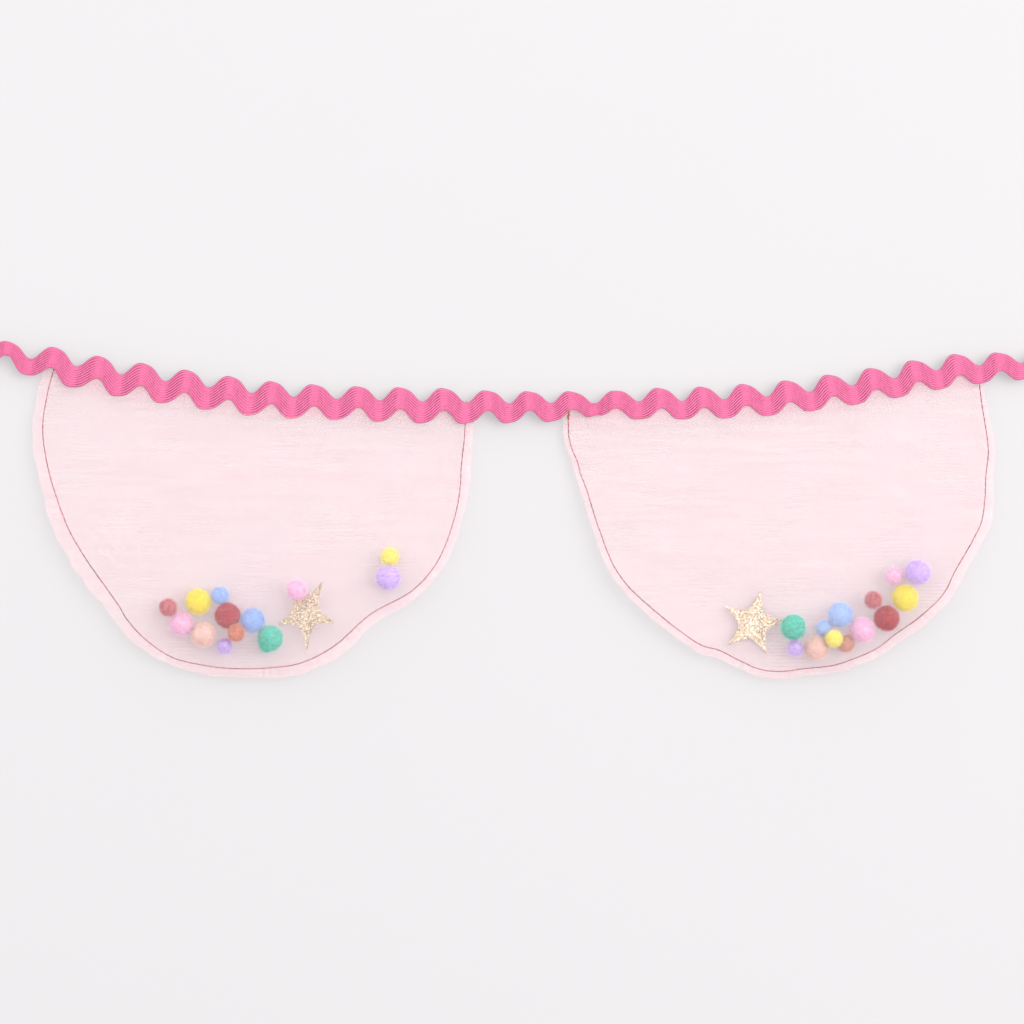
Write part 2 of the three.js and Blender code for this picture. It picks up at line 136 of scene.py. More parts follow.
@dataclass
class Bench:
    """A node tree under construction, of shader or geometry nodes, with short ways to add and join nodes."""

    tree: bpy.types.NodeTree

    def add(self, kind: str, inputs: Optional[Inputs] = None, **settings: Any) -> bpy.types.Node:
        """Adds a node.

        Args:
            kind: the node's type name.
            inputs: what each named input holds: a value, or another node's output.
            settings: the node's own settings.

        Returns:
            The new node.
        """
        node = self.tree.nodes.new(kind)
        for name, value in settings.items():
            setattr(node, name, value)
        for name, value in (inputs or {}).items():
            self.plug(self.socket(node.inputs, name), value)
        return node

    @staticmethod
    def socket(sockets: Sequence[Socket], name: str = "") -> Socket:
        """Finds the first socket that the node's settings leave in use, or the first of that name."""
        return next(s for s in sockets if s.enabled and name in ("", s.name))

    def plug(self, socket: Socket, value: Value) -> None:
        """Gives an input a value, or links it to an output."""
        if isinstance(value, Term):
            self.tree.links.new(value.socket, socket)
        else:
            socket.default_value = value

    def out(self, kind: str, inputs: Optional[Inputs] = None, name: str = "", **settings: Any) -> Term:
        """Adds a node as add() does and returns its named output, or its first one."""
        return Term(self, self.socket(self.add(kind, inputs, **settings).outputs, name))

    def outs(self, names: str, kind: str, inputs: Inputs, **settings: Any) -> list[Term]:
        """Adds a node as add() does and returns the outputs whose names are given, with spaces between."""
        node = self.add(kind, inputs, **settings)
        return [Term(self, self.socket(node.outputs, name)) for name in names.split()]

    def row(self, kind: str, *values: Value, **settings: Any) -> Term:
        """Adds a node, fills its inputs in their order and returns its first output."""
        node = self.add(kind, **settings)
        for socket, value in zip([s for s in node.inputs if s.enabled], values):
            self.plug(socket, value)
        return Term(self, self.socket(node.outputs))

    def vector(self, operation: str, *values: Value) -> Term:
        """Applies a vector math operation to the values."""
        return self.row("ShaderNodeVectorMath", *values, operation=operation)

    def parts(self, vector: Term) -> list[Term]:
        """Splits a vector into its x, y and z."""
        return self.outs("X Y Z", "ShaderNodeSeparateXYZ", {"Vector": vector})

    def joined(self, *values: Value) -> Term:
        """Joins x, y and z into a vector."""
        return self.row("ShaderNodeCombineXYZ", *values)

    def mixed(self, share: Value, first: Value, second: Value) -> Term:
        """Mixes two colours by a share."""
        colours = [(*c, 1.0) if isinstance(c, tuple) else c for c in (first, second)]
        return self.row("ShaderNodeMix", share, *colours, data_type="RGBA")

    def shaded(self, share: Value, first: Term, second: Term) -> Term:
        """Mixes two shaders by a share."""
        return self.row("ShaderNodeMixShader", share, first, second)

    def note(self, name: str, output: str = "Fac") -> Term:
        """Reads what a mesh notes under that name, in a material."""
        return self.out("ShaderNodeAttribute", name=output, attribute_name=name)

    def place(self) -> Term:
        """Gives the place on the object, in a material."""
        return self.out("ShaderNodeTexCoord", name="Object")

    def noise(self, place: Term, scale: float, detail: float, distortion: float = 0.0) -> Term:
        """Gives a soft random pattern's value at a place."""
        inputs = {"Vector": place, "Scale": scale, "Detail": detail, "Distortion": distortion}
        return self.out("ShaderNodeTexNoise", inputs)

    def bump(self, height: Term, strength: float, depth: float) -> Term:
        """Raises a surface by a height. The depth is in millimetres."""
        return self.out("ShaderNodeBump", {"Height": height, "Strength": strength, "Distance": depth * MM})

    def lit(self, colour: Term, look: Inputs, clear: float = 0.0) -> Term:
        """Makes a surface's shader from its colour, its look and the share of light it lets through."""
        surface = self.out("ShaderNodeBsdfPrincipled", {"Base Color": colour, **look})
        if not clear:
            return surface
        return self.shaded(clear, surface, self.out("ShaderNodeBsdfTranslucent", {"Color": colour}))

    def random(self, low: Value, high: Value, seed: Term) -> Term:
        """Draws a number, or a vector, between two values."""
        kind = "FLOAT" if isinstance(low, float) else "FLOAT_VECTOR"
        return self.out("FunctionNodeRandomValue", {"Min": low, "Max": high, "Seed": seed}, data_type=kind)

    def tilted(self, stance: Term, tilt: Term) -> Term:
        """Turns a stance further by a tilt of its own."""
        inputs = {"Rotation": stance, "Rotate By": tilt}
        return self.out("FunctionNodeRotateRotation", inputs, rotation_space="LOCAL")

    def placed(self, points: Term, item: Term, stance: Term, size: Term) -> Term:
        """Sets an item on each point."""
        inputs = {"Points": points, "Instance": item, "Rotation": stance, "Scale": size}
        return self.out("GeometryNodeInstanceOnPoints", inputs)

    def on(self, shape: Term, kind: str, inputs: Optional[Inputs] = None, **settings: Any) -> Term:
        """Adds a geometry node that works on a shape and returns what becomes of the shape."""
        return self.out("GeometryNode" + kind, {"Geometry": shape, **(inputs or {})}, **settings)

    def store(self, shape: Term, name: str, value: Term, kind: str = "FLOAT", domain: str = "POINT") -> Term:
        """Notes a value on each point or instance of a shape."""
        note = {"Name": name, "Value": value}
        return self.on(shape, "StoreNamedAttribute", note, data_type=kind, domain=domain)


SHEEN = {"Sheen Weight": 0.25, "Sheen Roughness": 0.5}


class Finish:
    """A finish as a procedural material. Each kind fills in dress()."""

    name = "finish"

    def build(self) -> bpy.types.Material:
        """Makes the material, or returns the one made before."""
        old = bpy.data.materials.get(self.name)
        if old:
            return old
        material = bpy.data.materials.new(self.name)
        material.use_nodes = True
        material.node_tree.nodes.clear()
        bench = Bench(material.node_tree)
        bench.add("ShaderNodeOutputMaterial", {"Surface": self.dress(bench)})
        return material

    def dress(self, bench: Bench) -> Term:
        """Lays out the nodes and returns the shader."""
        raise NotImplementedError


@dataclass(frozen=True)
class BraidFinish(Finish):
    """Matte hot-pink plaited thread: strands with painted shade in the grooves between them, strongest on one
    flank of each wave, painted edge shade along both rims, and a fine slanting ply.
    """

    name: str = "plaited_pink_braid"
    strand: Colour = (0.72, 0.158, 0.325)
    shade: Colour = (0.65, 0.128, 0.27)
    # Painted shade colour laid in the grooves between strands.
    furrow_shade: Colour = (0.13, 0.012, 0.05)
    # Painted edge shade colour for the tape's rims.
    rim: Colour = (0.30, 0.07, 0.15)
    strands: int = 9
    clear: float = 0.22
    furrow_shade_mask: Ramp = (0.1, 0.68, 1.0, 0.0)
    flanked: Ramp = (0.25, 0.8, 0.12, 1.25)
    rising_flank_shade: Ramp = (-0.3, 0.6, 0.62, 1.0)
    patched: Ramp = (0.3, 0.7, 0.55, 1.15)
    toned: Ramp = (0.35, 0.7, 0.0, 0.8)
    top_rim_shade: Ramp = (0.9, 0.97, 0.0, 0.75)
    low_rim_shade: Ramp = (-0.97, -1.0, 0.0, 0.3)
    grain: float = 1.6
    ply: tuple[float, float, float] = (11.0, 9.0, 0.25)

    def dress(self, bench: Bench) -> Term:
        """Colours the strands by the braid note: run along the tape, place across it, and slope."""
        braid = bench.note("braid", "Vector")
        run, across, slope = bench.parts(braid)
        turn = (across + 1.0) * (self.strands / 2)
        middle = (turn.take("FRACT") * math.pi).take("SINE")
        flank = slope.take("ABSOLUTE").ramp(*self.flanked)
        noise = bench.noise(braid, self.grain, 3.0)
        # Painted shade: the grooves between strands darken, more on the slopes than at the crests and most on
        # the flank that faces away from the light, in uneven patches.
        uneven = slope.ramp(*self.rising_flank_shade) * noise.ramp(*self.patched)
        depth = (middle.ramp(*self.furrow_shade_mask) * flank * uneven).take("MINIMUM", 1.0)
        body = bench.mixed(noise.ramp(*self.toned), self.strand, self.shade)
        # Painted edge shade: the rim colour darkens both edges of the tape, more along the top edge.
        edge = across.ramp(*self.top_rim_shade) + across.ramp(*self.low_rim_shade)
        colour = bench.mixed(edge, bench.mixed(depth, body, self.furrow_shade), self.rim)
        along, athwart, rise = self.ply
        ply = (run * along + turn * athwart).take("SINE")
        bump = bench.bump(ply * rise + middle, 0.5, 0.12)
        look = {"Roughness": 0.72, "Normal": bump, "Specular IOR Level": 0.3, **SHEEN}
        return bench.lit(colour, look, self.clear)


@dataclass(frozen=True)
class OrganzaFinish(Finish):
    """Sheer pink organza: fine threads both ways with clear gaps between, uneven like watered silk."""

    name: str = "sheer_pink_organza"
    thread: Colour = (0.90, 0.60, 0.645)
    pale: Colour = (0.93, 0.70, 0.735)
    doubled: Colour = (0.93, 0.47, 0.56)
    cover: float = 0.17
    pitch: float = 0.45
    clear: float = 0.45
    moire: float = 0.4
    moire_patches: tuple[float, float] = (0.46, 0.62)
    water_stretch: Place = (0.035, 0.42, 0.0)
    band_stretch: Place = (0.25, 1.0, 0.0)
    cloud_size: float = 0.03
    patch_size: float = 0.05
    watered: Ramp = (0.3, 0.7, 0.95, 1.06)
    clouded: Ramp = (0.3, 0.7, 0.88, 1.12)
    single: Ramp = (1.05, 1.2, 1.0, 0.0)
    woven: Ramp = (0.0, 1.0, 0.78, 1.36)
    paled: Ramp = (0.35, 0.65, 0.0, 1.0)
    folded: Ramp = (1.3, 1.75, 0.0, 1.0)

    def dress(self, bench: Bench) -> Term:
        """Sets the cover by the cloth note: weft and warp in millimetres, and how closely it lies."""
        cloth = bench.note("cloth", "Vector")
        weft, warp, layers = bench.parts(cloth)
        waves = [(way * (TURN / self.pitch)).take("SINE") for way in (weft, warp)]
        first, second = [wave.ramp(-1.0, 1.0, 0.0, 1.0) ** 2.0 for wave in waves]
        weave = first.take("MAXIMUM", second).ramp(*self.woven) * self.cover
        water = bench.noise(bench.vector("MULTIPLY", cloth, self.water_stretch), 1.0, 2.5, 0.6)
        cloud = bench.noise(cloth, self.cloud_size, 2.0)
        stretched = bench.vector("MULTIPLY", cloth, self.band_stretch)
        wave = {"Vector": stretched, "Scale": 0.2, "Distortion": 9.0, "Detail": 1.0, "Detail Scale": 0.28}
        bands = bench.out("ShaderNodeTexWave", wave, bands_direction="Y")
        patches = bench.noise(cloth, self.patch_size, 1.0).ramp(*self.moire_patches, 0.0, self.moire)
        ripple = (bands - 0.5) * (patches * layers.ramp(*self.single)) + 1.0
        uneven = water.ramp(*self.watered) * cloud.ramp(*self.clouded) * ripple
        colour = bench.mixed(water.ramp(*self.paled), self.thread, self.pale)
        colour = bench.mixed(layers.ramp(*self.folded), colour, self.doubled)
        threads = bench.lit(colour, {"Roughness": 0.55, "Specular IOR Level": 0.3}, self.clear)
        return bench.shaded(weave * uneven * layers, bench.out("ShaderNodeBsdfTransparent"), threads)


@dataclass(frozen=True)
class PileFinish(Finish):
    """Short dyed pile: each fibre its own tone, some paler than others, with painted shade that darkens every
    fibre towards its root.
    """

    dye: Pile = Pile.PINK
    faded: float = 0.0
    fleck: float = 0.2
    clear: float = 0.38
    root_shade_power: float = 1.35
    darkened: float = 0.55
    paled: float = 0.18
    grain: float = 720.0
    flecked: tuple[float, float] = (0.48, 0.66)
    root_shade_ramp: Ramp = (0.0, 0.75, 0.0, 1.0)
    tipped: Ramp = (0.35, 1.0, 0.0, 1.0)

    @property
    def name(self) -> str:
        """The material's name."""
        return f"pile_{self.dye.name.lower()}_{round(100 * self.faded)}"

    def dress(self, bench: Bench) -> Term:
        """Colours the fibres by their notes: rise, from root to tip, and tone."""
        base = tuple(c + (1.0 - c) * self.faded for c in self.dye.value)
        # Painted shade: a darker, deeper copy of the dye laid at the fibres' roots, where the pile shades
        # itself.
        deep = tuple(c ** self.root_shade_power for c in base)
        dark = tuple(c * self.darkened for c in deep)
        pale = tuple(c + (1.0 - c) * self.paled for c in base)
        colour = bench.mixed(bench.note("rise").ramp(*self.root_shade_ramp), deep, base)
        colour = bench.mixed(bench.note("tone").ramp(*self.tipped), colour, pale)
        noise = bench.noise(bench.place(), self.grain, 2.0)
        colour = bench.mixed(noise.ramp(*self.flecked, 0.0, self.fleck), colour, dark)
        look = {"Roughness": 0.92, "Specular IOR Level": 0.12, "Sheen Weight": 0.3, "Sheen Roughness": 0.6}
        return bench.lit(colour, look, self.clear)


@dataclass(frozen=True)
class GlitterFinish(Finish):
    """Champagne glitter: metallic grains of pale gold, with painted glints on a few light grains and painted
    shade on a few dark ones.
    """

    name: str = "champagne_glitter"
    gold: Colour = (0.54, 0.45, 0.29)
    painted_glint: Colour = (0.95, 0.90, 0.76)
    dark_grain_shade: Colour = (0.27, 0.19, 0.08)
    cells: float = 2300.0
    dark_grain_ramp: Ramp = (0.2, 0.36, 1.0, 0.0)
    glint_ramp: Ramp = (0.62, 0.74, 0.0, 1.0)

    def dress(self, bench: Bench) -> Term:
        """Colours each grain by its tone note, over cells as fine as the grains."""
        cells = {"Vector": bench.place(), "Scale": self.cells}
        tint, gap = bench.outs("Color Distance", "ShaderNodeTexVoronoi", cells)
        speck = (bench.note("tone") + bench.parts(tint)[0]).take("FRACT")
        # Painted glints and painted shade: random grains take a near-white glint colour or a dark shade colour
        # in place of the gold.
        colour = bench.mixed(speck.ramp(*self.dark_grain_ramp), self.gold, self.dark_grain_shade)
        colour = bench.mixed(speck.ramp(*self.glint_ramp), colour, self.painted_glint)
        return bench.lit(colour, {"Roughness": 0.28, "Metallic": 0.45, "Normal": bench.bump(gap, 0.6, 0.2)})


@dataclass(frozen=True)
class ThreadFinish(Finish):
    """Sewing thread: a twisted ply in one colour, a little darker in places."""

    name: str = "thread"
    colour: Colour = (0.41, 0.105, 0.13)
    dark: Colour = (0.20, 0.036, 0.05)
    patches: float = 90.0
    twists: float = 900.0
    darkened: Ramp = (0.4, 0.65, 0.0, 1.0)

    def dress(self, bench: Bench) -> Term:
        """Darkens the thread in patches and raises its twist as a bump."""
        place = bench.place()
        noise = bench.noise(place, self.patches, 3.0)
        colour = bench.mixed(noise.ramp(*self.darkened), self.colour, self.dark)
        wave = {"Vector": place, "Scale": self.twists, "Distortion": 1.0}
        twist = bench.out("ShaderNodeTexWave", wave, bands_direction="DIAGONAL")
        look = {"Roughness": 0.7, "Normal": bench.bump(twist, 0.4, 0.05), "Specular IOR Level": 0.3}
        return bench.lit(colour, look)


@dataclass(frozen=True)
class BackdropFinish(Finish):
    """Plain pale paint with a little glow. One-sided paint is clear from behind, so it hides nothing."""

    name: str = "pale_paint"
    colour: Colour = (0.302, 0.295, 0.298)
    glow: Colour = (0.340, 0.337, 0.345)
    dimmed: float = 0.985
    one_sided: bool = False

    def dress(self, bench: Bench) -> Term:
        """Paints the surface with a faint grain."""
        dim = tuple(c * self.dimmed for c in self.colour)
        colour = bench.mixed(bench.noise(bench.place(), 6.0, 4.0), self.colour, dim)
        diffuse = bench.out("ShaderNodeBsdfDiffuse", {"Color": colour})
        shine = bench.out("ShaderNodeEmission", {"Color": (*self.glow, 1.0)})
        paint = bench.row("ShaderNodeAddShader", diffuse, shine)
        if not self.one_sided:
            return paint
        behind = bench.out("ShaderNodeNewGeometry", name="Backfacing")
        return bench.shaded(behind, paint, bench.out("ShaderNodeBsdfTransparent"))


@dataclass
class Spline:
    """A smooth curve through given points, in millimetres, walked by length."""

    points: Sequence[Sequence[float]]
    samples: int = 400
    line: np.ndarray = field(init=False)
    station: np.ndarray = field(init=False)
    run: np.ndarray = field(init=False)

    def __post_init__(self) -> None:
        """Samples the centripetal Catmull-Rom curve through the points."""
        p = np.array(self.points, float)
        p = np.vstack([2 * p[0] - p[1], p, 2 * p[-1] - p[-2]])
        step = np.maximum(np.linalg.norm(np.diff(p, axis=0), axis=1) ** 0.5, 1e-4)[:, None]
        t = np.linspace(0, 1, self.samples, endpoint=False)[:, None]
        pieces, stations = [], []
        for i in range(1, len(p) - 2):
            a, b, c, d = p[i - 1], p[i], p[i + 1], p[i + 2]
            da, db, dc = step[i - 1], step[i], step[i + 1]
            out = ((b - a) / da - (c - a) / (da + db) + (c - b) / db) * db
            back = ((c - b) / db - (d - b) / (db + dc) + (d - c) / dc) * db
            square = 3 * (c - b) - 2 * out - back
            cube = 2 * (b - c) + out + back
            pieces.append(b + out * t + square * t**2 + cube * t**3)
            stations.append(i - 1 + t[:, 0])
        self.line = np.vstack(pieces + [p[-2]])
        self.station = np.append(np.concatenate(stations), len(p) - 3)
        self.run = np.append(0, np.cumsum(np.linalg.norm(np.diff(self.line, axis=0), axis=1)))

    @property
    def length(self) -> float:
        """The curve's length in millimetres."""
        return float(self.run[-1])

    def at(self, shares: np.ndarray) -> np.ndarray:
        """Gives the points at shares of the curve's length."""
        return np.stack([np.interp(shares * self.length, self.run, axis) for axis in self.line.T], axis=1)

    def stations(self, shares: np.ndarray) -> np.ndarray:
        """Gives the place between the table's rows at shares of the curve's length."""
        return np.interp(shares * self.length, self.run, self.station)

    def tangents(self, shares: np.ndarray) -> np.ndarray:
        """Gives the curve's unit direction at shares of its length."""
        ahead = self.at(np.minimum(shares + 0.001, 1)) - self.at(np.maximum(shares - 0.001, 0))
        return ahead / np.linalg.norm(ahead, axis=1, keepdims=True)


SWAG = Spline([(x, 0, z) for x, z in (
    (-217, 23.0), (-200, 20.3), (-184, 17.0), (-166, 13.1), (-149, 10.35), (-114, 5.05), (-96, 3.0),
    (-80, 2.1), (-45, 0.9), (0, 0), (22, 0.45), (34, 1.0), (45, 0.95), (60, 1.2), (75, 1.4), (109, 3.55),
    (144, 8.55), (177, 14.4), (200, 16.2), (217, 17.9),
)])
UNEVEN = np.array([
    (-217, -1.3, 3.0, 2.9, 0), (-200, -1.1, 3.3, 2.9, 0), (-192, -0.3, 4.0, 2.85, 0),
    (-184, -0.2, 4.7, 2.85, 0), (-166, 1.0, 4.95, 2.85, 0), (-131, 1.45, 5.0, 2.85, 0),
    (-114, 1.55, 5.1, 2.75, 0), (-96, 1.2, 5.0, 2.75, 0), (-79, 0.7, 4.8, 2.65, 0),
    (-61, 1.1, 4.7, 2.65, 0), (-44, 0.35, 4.8, 2.7, 0), (-28, 0.5, 4.9, 2.75, 0), (-9, 0.8, 4.5, 2.45, 0),
    (7, 0.0, 4.35, 2.4, 0), (24, -0.1, 4.1, 2.15, 0), (33.5, -0.1, 2.8, 2.0, 0), (43, 0.3, 4.1, 2.15, 0.2),
    (59, 0.8, 4.3, 2.4, 0.35), (76, 0.6, 4.45, 2.5, 0.35), (93, 0.3, 4.6, 2.6, 0.35),
    (127, 0.7, 4.65, 2.6, 0.35), (161, 0.9, 4.65, 2.6, 0.35), (178, 0.9, 4.5, 2.4, 0.35),
    (194, 0.3, 4.1, 2.25, 0.2), (217, 0.6, 3.8, 2.1, 0.1),
])


def linked(name: str, data: Any) -> Piece:
    """Makes an object of the data at the origin and adds it to the scene."""
    piece = bpy.data.objects.new(name, data)
    bpy.context.scene.collection.objects.link(piece)
    return piece


def mesh_object(name: str, points: np.ndarray, faces: Sequence = (), **notes: np.ndarray) -> Piece:
    """Makes a mesh object.

    Args:
        name: its name.
        points: its points in millimetres.
        faces: its faces. Without any, a chain of edges joins the points.
        notes: numbers to note on the points.

    Returns:
        The object.
    """
    mesh = bpy.data.meshes.new(name)
    edges = [] if len(faces) else [(i, i + 1) for i in range(len(points) - 1)]
    mesh.from_pydata((np.asarray(points) * MM).tolist(), edges, faces)
    for key, values in notes.items():
        mesh.attributes.new(key, "FLOAT", "POINT").data.foreach_set("value", values.astype(np.float32))
    return linked(name, mesh)


class NodeMaker:
    """A piece maker whose shape comes from a tree of geometry nodes."""

    title = "maker"
    lean = 0.0
    sizes = (1.0, 1.0)

    def __init__(self) -> None:
        """Builds the tree once."""
        self.tree = bpy.data.node_groups.new(self.title, "GeometryNodeTree")
        self.bench = Bench(self.tree)
        self.sockets: dict[str, str] = {}
        self.tree.interface.new_socket(name="Geometry", in_out="OUTPUT", socket_type="NodeSocketGeometry")
        self.layout()

    def ask(self, **kinds: str) -> list[Term]:
        for name, kind in kinds.items():
            kind = f"NodeSocket{kind}"
            socket = self.tree.interface.new_socket(name=name, in_out="INPUT", socket_type=kind)
            self.sockets[name] = socket.identifier
        group = self.bench.add("NodeGroupInput")
        return [Term(self.bench, group.outputs[name]) for name in kinds]

    def shape(self, source: Term) -> Term:
        """Reads an object's shape."""
        return self.bench.out("GeometryNodeObjectInfo", {"Object": source}, "Geometry")

    def path(self, source: Term) -> Term:
        """Reads a chain of edges from its object as a curve."""
        return self.bench.out("GeometryNodeMeshToCurve", {"Mesh": self.shape(source)})

    def scattered(self, ground: Term, item: Term, density: Term, seed: Term) -> Term:
        """Scatters an item over a surface, each with its own stance, size and tone.

        Args:
            ground: the surface.
            item: what is scattered.
            density: how many to the square metre.
            seed: the seed of all the draws.

        Returns:
            The scattered items, as instances that note their tone.
        """
        lean = self.lean
        spots = {"Mesh": ground, "Density": density, "Seed": seed}
        points, facing = self.bench.outs("Points Rotation", "GeometryNodeDistributePointsOnFaces", spots)
        tilt = self.bench.random((-lean, -lean, 0.0), (lean, lean, math.pi), seed)
        size = self.bench.random(*self.sizes, seed + 3.0)
        laid = self.bench.placed(points, item, self.bench.tilted(facing, tilt), size)
        return self.bench.store(laid, "tone", self.bench.random(0.0, 1.0, seed + 5.0), domain="INSTANCE")

    def give(self, geometry: Term, material: Term) -> None:
        """Ends the tree: realizes the instances, sets the material and hands the geometry out."""
        real = self.bench.on(geometry, "RealizeInstances")
        dressed = self.bench.on(real, "SetMaterial", {"Material": material})
        self.bench.add("NodeGroupOutput", {"Geometry": dressed})

    def layout(self) -> None:
        """Lays out the tree's nodes."""
        raise NotImplementedError

    def make(self, name: str, **values: Any) -> Piece:
        """Runs the tree and turns its result into a plain mesh at the origin.

        Args:
            name: the piece's name.
            values: a value for each input.

        Returns:
            The piece.
        """
        holder = linked(name + "_maker", bpy.data.meshes.new(name + "_maker"))
        modifier = holder.modifiers.new(self.title, "NODES")
        modifier.node_group = self.tree
        for key, value in values.items():
            modifier[self.sockets[key]] = value
        bpy.context.view_layer.update()
        graph = bpy.context.evaluated_depsgraph_get()
        mesh = bpy.data.meshes.new_from_object(holder.evaluated_get(graph), depsgraph=graph)
        mesh.name = name
        bpy.data.objects.remove(holder)
        return linked(name, mesh)


class BraidMaker(NodeMaker):
    """Makes the ric-rac: a closed band whose strands wave along a path."""

    title = "waved_braid"
    rim_sharpness = 8.0
    least_edge = 0.04
    strand_roundness = 0.6

    def layout(self) -> None:
        """Bends a finely divided box: its length along the path, its height across the band."""
        bench = self.bench
        route, steps, lanes, finish = self.ask(Path="Object", Steps="Int", Across="Int", Finish="Material")
        strands, lean, rounding, round_lean, lop_lean, scale, thick, ridge = self.ask(
            Strands="Float", Lean="Float", Round="Float", RoundLean="Float", LopLean="Float",
            RunScale="Float", Thick="Float", Ridge="Float",
        )
        path = self.path(route)
        grid = {"Size": (1.0, 1.0, 1.0), "Vertices X": steps, "Vertices Y": 2, "Vertices Z": lanes}
        box = bench.out("GeometryNodeMeshCube", grid)
        x, y, z = bench.parts(bench.out("GeometryNodeInputPosition"))
        across = z * 2.0
        spot = {"Curves": path, "Factor": x + 0.5}
        centre, along = bench.outs("Position Tangent", "GeometryNodeSampleCurve", spot, mode="FACTOR")
        notes = []
        for key in ("phase", "half_width", "height", "lop"):
            note = bench.out("GeometryNodeInputNamedAttribute", {"Name": key}, data_type="FLOAT")
            sample = {**spot, "Value": note}
            notes.append(bench.out("GeometryNodeSampleCurve", sample, "Value", mode="FACTOR"))
        phase, half_width, height, lop = notes
        leaned = phase - lean
        wave = leaned.take("COSINE") * height
        narrow = ((phase - round_lean) * 2.0).take("COSINE") * rounding
        lopped = (phase + lop_lean).take("COSINE") * lop
        offset = wave + (half_width - narrow + lopped) * across
        strand = ((across + 1.0) * strands * (math.pi / 2)).take("SINE").take("ABSOLUTE")
        rim = across.take("ABSOLUTE") ** self.rim_sharpness
        taper = (rim * -1.0 + 1.0).take("MAXIMUM", self.least_edge) ** 0.5
        half = (thick * 0.5 + strand ** self.strand_roundness * ridge) * taper
        depth = (thick * 0.5 + ridge) * -1.0 + half * (y * 2.0)
        ahead, _, climb = bench.parts(along)
        shift = bench.joined(climb * offset * -1.0, depth, ahead * offset)
        marks = bench.joined(phase * scale, across, leaned.take("SINE") * -1.0)
        stored = bench.store(box, "braid", marks, "FLOAT_VECTOR")
        self.give(bench.on(stored, "SetPosition", {"Position": bench.vector("ADD", centre, shift)}), finish)


class StitchMaker(NodeMaker):
    """Sews a row of stitches along a path: slim beads of thread, each a little out of line."""

    title = "row_of_stitches"
    tilt = (0.0, 0.06, 0.06)
    stray = (1.0, 0.3, 1.0)

    def layout(self) -> None:
        """Sets a stitch at even steps along the path, turned to follow it."""
        bench = self.bench
        route, step, length, thick, wander, seed, finish = self.ask(
            Path="Object", Step="Float", Length="Float", Thick="Float", Wander="Float", Seed="Int",
            Finish="Material",
        )
        row = {"Curve": self.path(route), "Length": step}
        points, along = bench.outs("Points Tangent", "GeometryNodeCurveToPoints", row, mode="LENGTH")
        turned = bench.out("FunctionNodeAlignRotationToVector", {"Vector": along}, axis="X")
        tilt = bench.random(tuple(-v for v in self.tilt), self.tilt, seed)
        bead = bench.out("GeometryNodeMeshUVSphere", {"Segments": 8, "Rings": 6, "Radius": 0.5})
        sewn = bench.placed(points, bead, bench.tilted(turned, tilt), bench.joined(length, thick, thick))
        high = bench.vector("SCALE", self.stray, wander)
        stray = bench.random(bench.vector("SCALE", high, -1.0), high, seed + 7.0)
        strayed = {"Instances": sewn, "Translation": stray, "Local Space": False}
        real = bench.on(bench.out("GeometryNodeTranslateInstances", strayed), "RealizeInstances")
        self.give(bench.on(real, "SetShadeSmooth"), finish)


class PileMaker(NodeMaker):
    """Makes a pom pom: an uneven core covered in short fibres that stand out from it."""

    title = "ball_of_pile"
    under = 0.34
    lumps = 1.7
    tuft_sharpness = 14.0
    tuft_height = 1.5 * MM
    lean = 0.55
    sizes = (0.7, 1.15)

    def layout(self) -> None:
        """Swells an ico sphere unevenly and plants a fibre at each point scattered on it."""
        bench = self.bench
        centre, radius, pile, thick, density, lump, tuft, seed, finish = self.ask(
            Centre="Vector", Radius="Float", Pile="Float", Fibre="Float", Density="Float", Lump="Float",
            Tuft="Vector", Seed="Int", Finish="Material",
        )
        under = radius - pile * self.under
        ball = bench.out("GeometryNodeMeshIcoSphere", {"Radius": under, "Subdivisions": 4})
        outwards = bench.vector("NORMALIZE", bench.out("GeometryNodeInputPosition"))
        shifted = bench.vector("ADD", outwards, bench.joined(seed, 0.0, 0.0))
        swell = (bench.noise(shifted, self.lumps, 3.0) - 0.5) * lump
        towards = bench.vector("DOT_PRODUCT", outwards, tuft).take("MAXIMUM", 0.0)
        peak = towards ** self.tuft_sharpness * self.tuft_height
        core = bench.on(ball, "SetPosition", {"Offset": bench.vector("SCALE", outwards, swell + peak)})
        cone = {"Vertices": 3, "Side Segments": 1, "Radius Top": 0.0, "Radius Bottom": thick, "Depth": pile}
        fibre = bench.out("GeometryNodeMeshCone", cone, fill_type="NGON")
        height = bench.parts(bench.out("GeometryNodeInputPosition"))[2]
        grown = bench.store(fibre, "rise", height.take("DIVIDE", pile))
        planted = self.scattered(core, grown, density, seed)
        joined = bench.add("GeometryNodeJoinGeometry")
        for part in (bench.on(core, "SetShadeSmooth"), planted):
            bench.plug(joined.inputs[0], part)
        real = bench.on(Term(bench, joined.outputs[0]), "RealizeInstances")
        self.give(bench.on(real, "SetPosition", {"Offset": centre}), finish)


class GlitterMaker(NodeMaker):
    """Scatters thin glitter flakes over a card, each tipped its own way."""

    title = "glitter_flakes"
    slimness = 0.3
    lean = 0.6
    sizes = (0.6, 1.25)

    def layout(self) -> None:
        """Sets a five-sided flake on each scattered point."""
        card, radius, density, seed, finish = self.ask(
            Card="Object", Flake="Float", Density="Float", Seed="Int", Finish="Material"
        )
        disc = {"Vertices": 5, "Radius": radius, "Depth": radius * self.slimness}
        flake = self.bench.out("GeometryNodeMeshCylinder", disc)
        self.give(self.scattered(self.shape(card), flake, density, seed), finish)


def settle(piece: Piece, slot: str, *nodes: str) -> Piece:
    """Lets a finished piece ride on the garland and hides the nodes that it stands for.

    Args:
        piece: the finished piece.
        slot: a material slot's name; not used.
        nodes: the solids that it replaces.

    Returns:
        The piece.
    """
    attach(piece, BODY)
    if nodes:
        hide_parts(*nodes)
    LOG.info("%s: %d faces", piece.name, len(piece.data.polygons))
    return piece


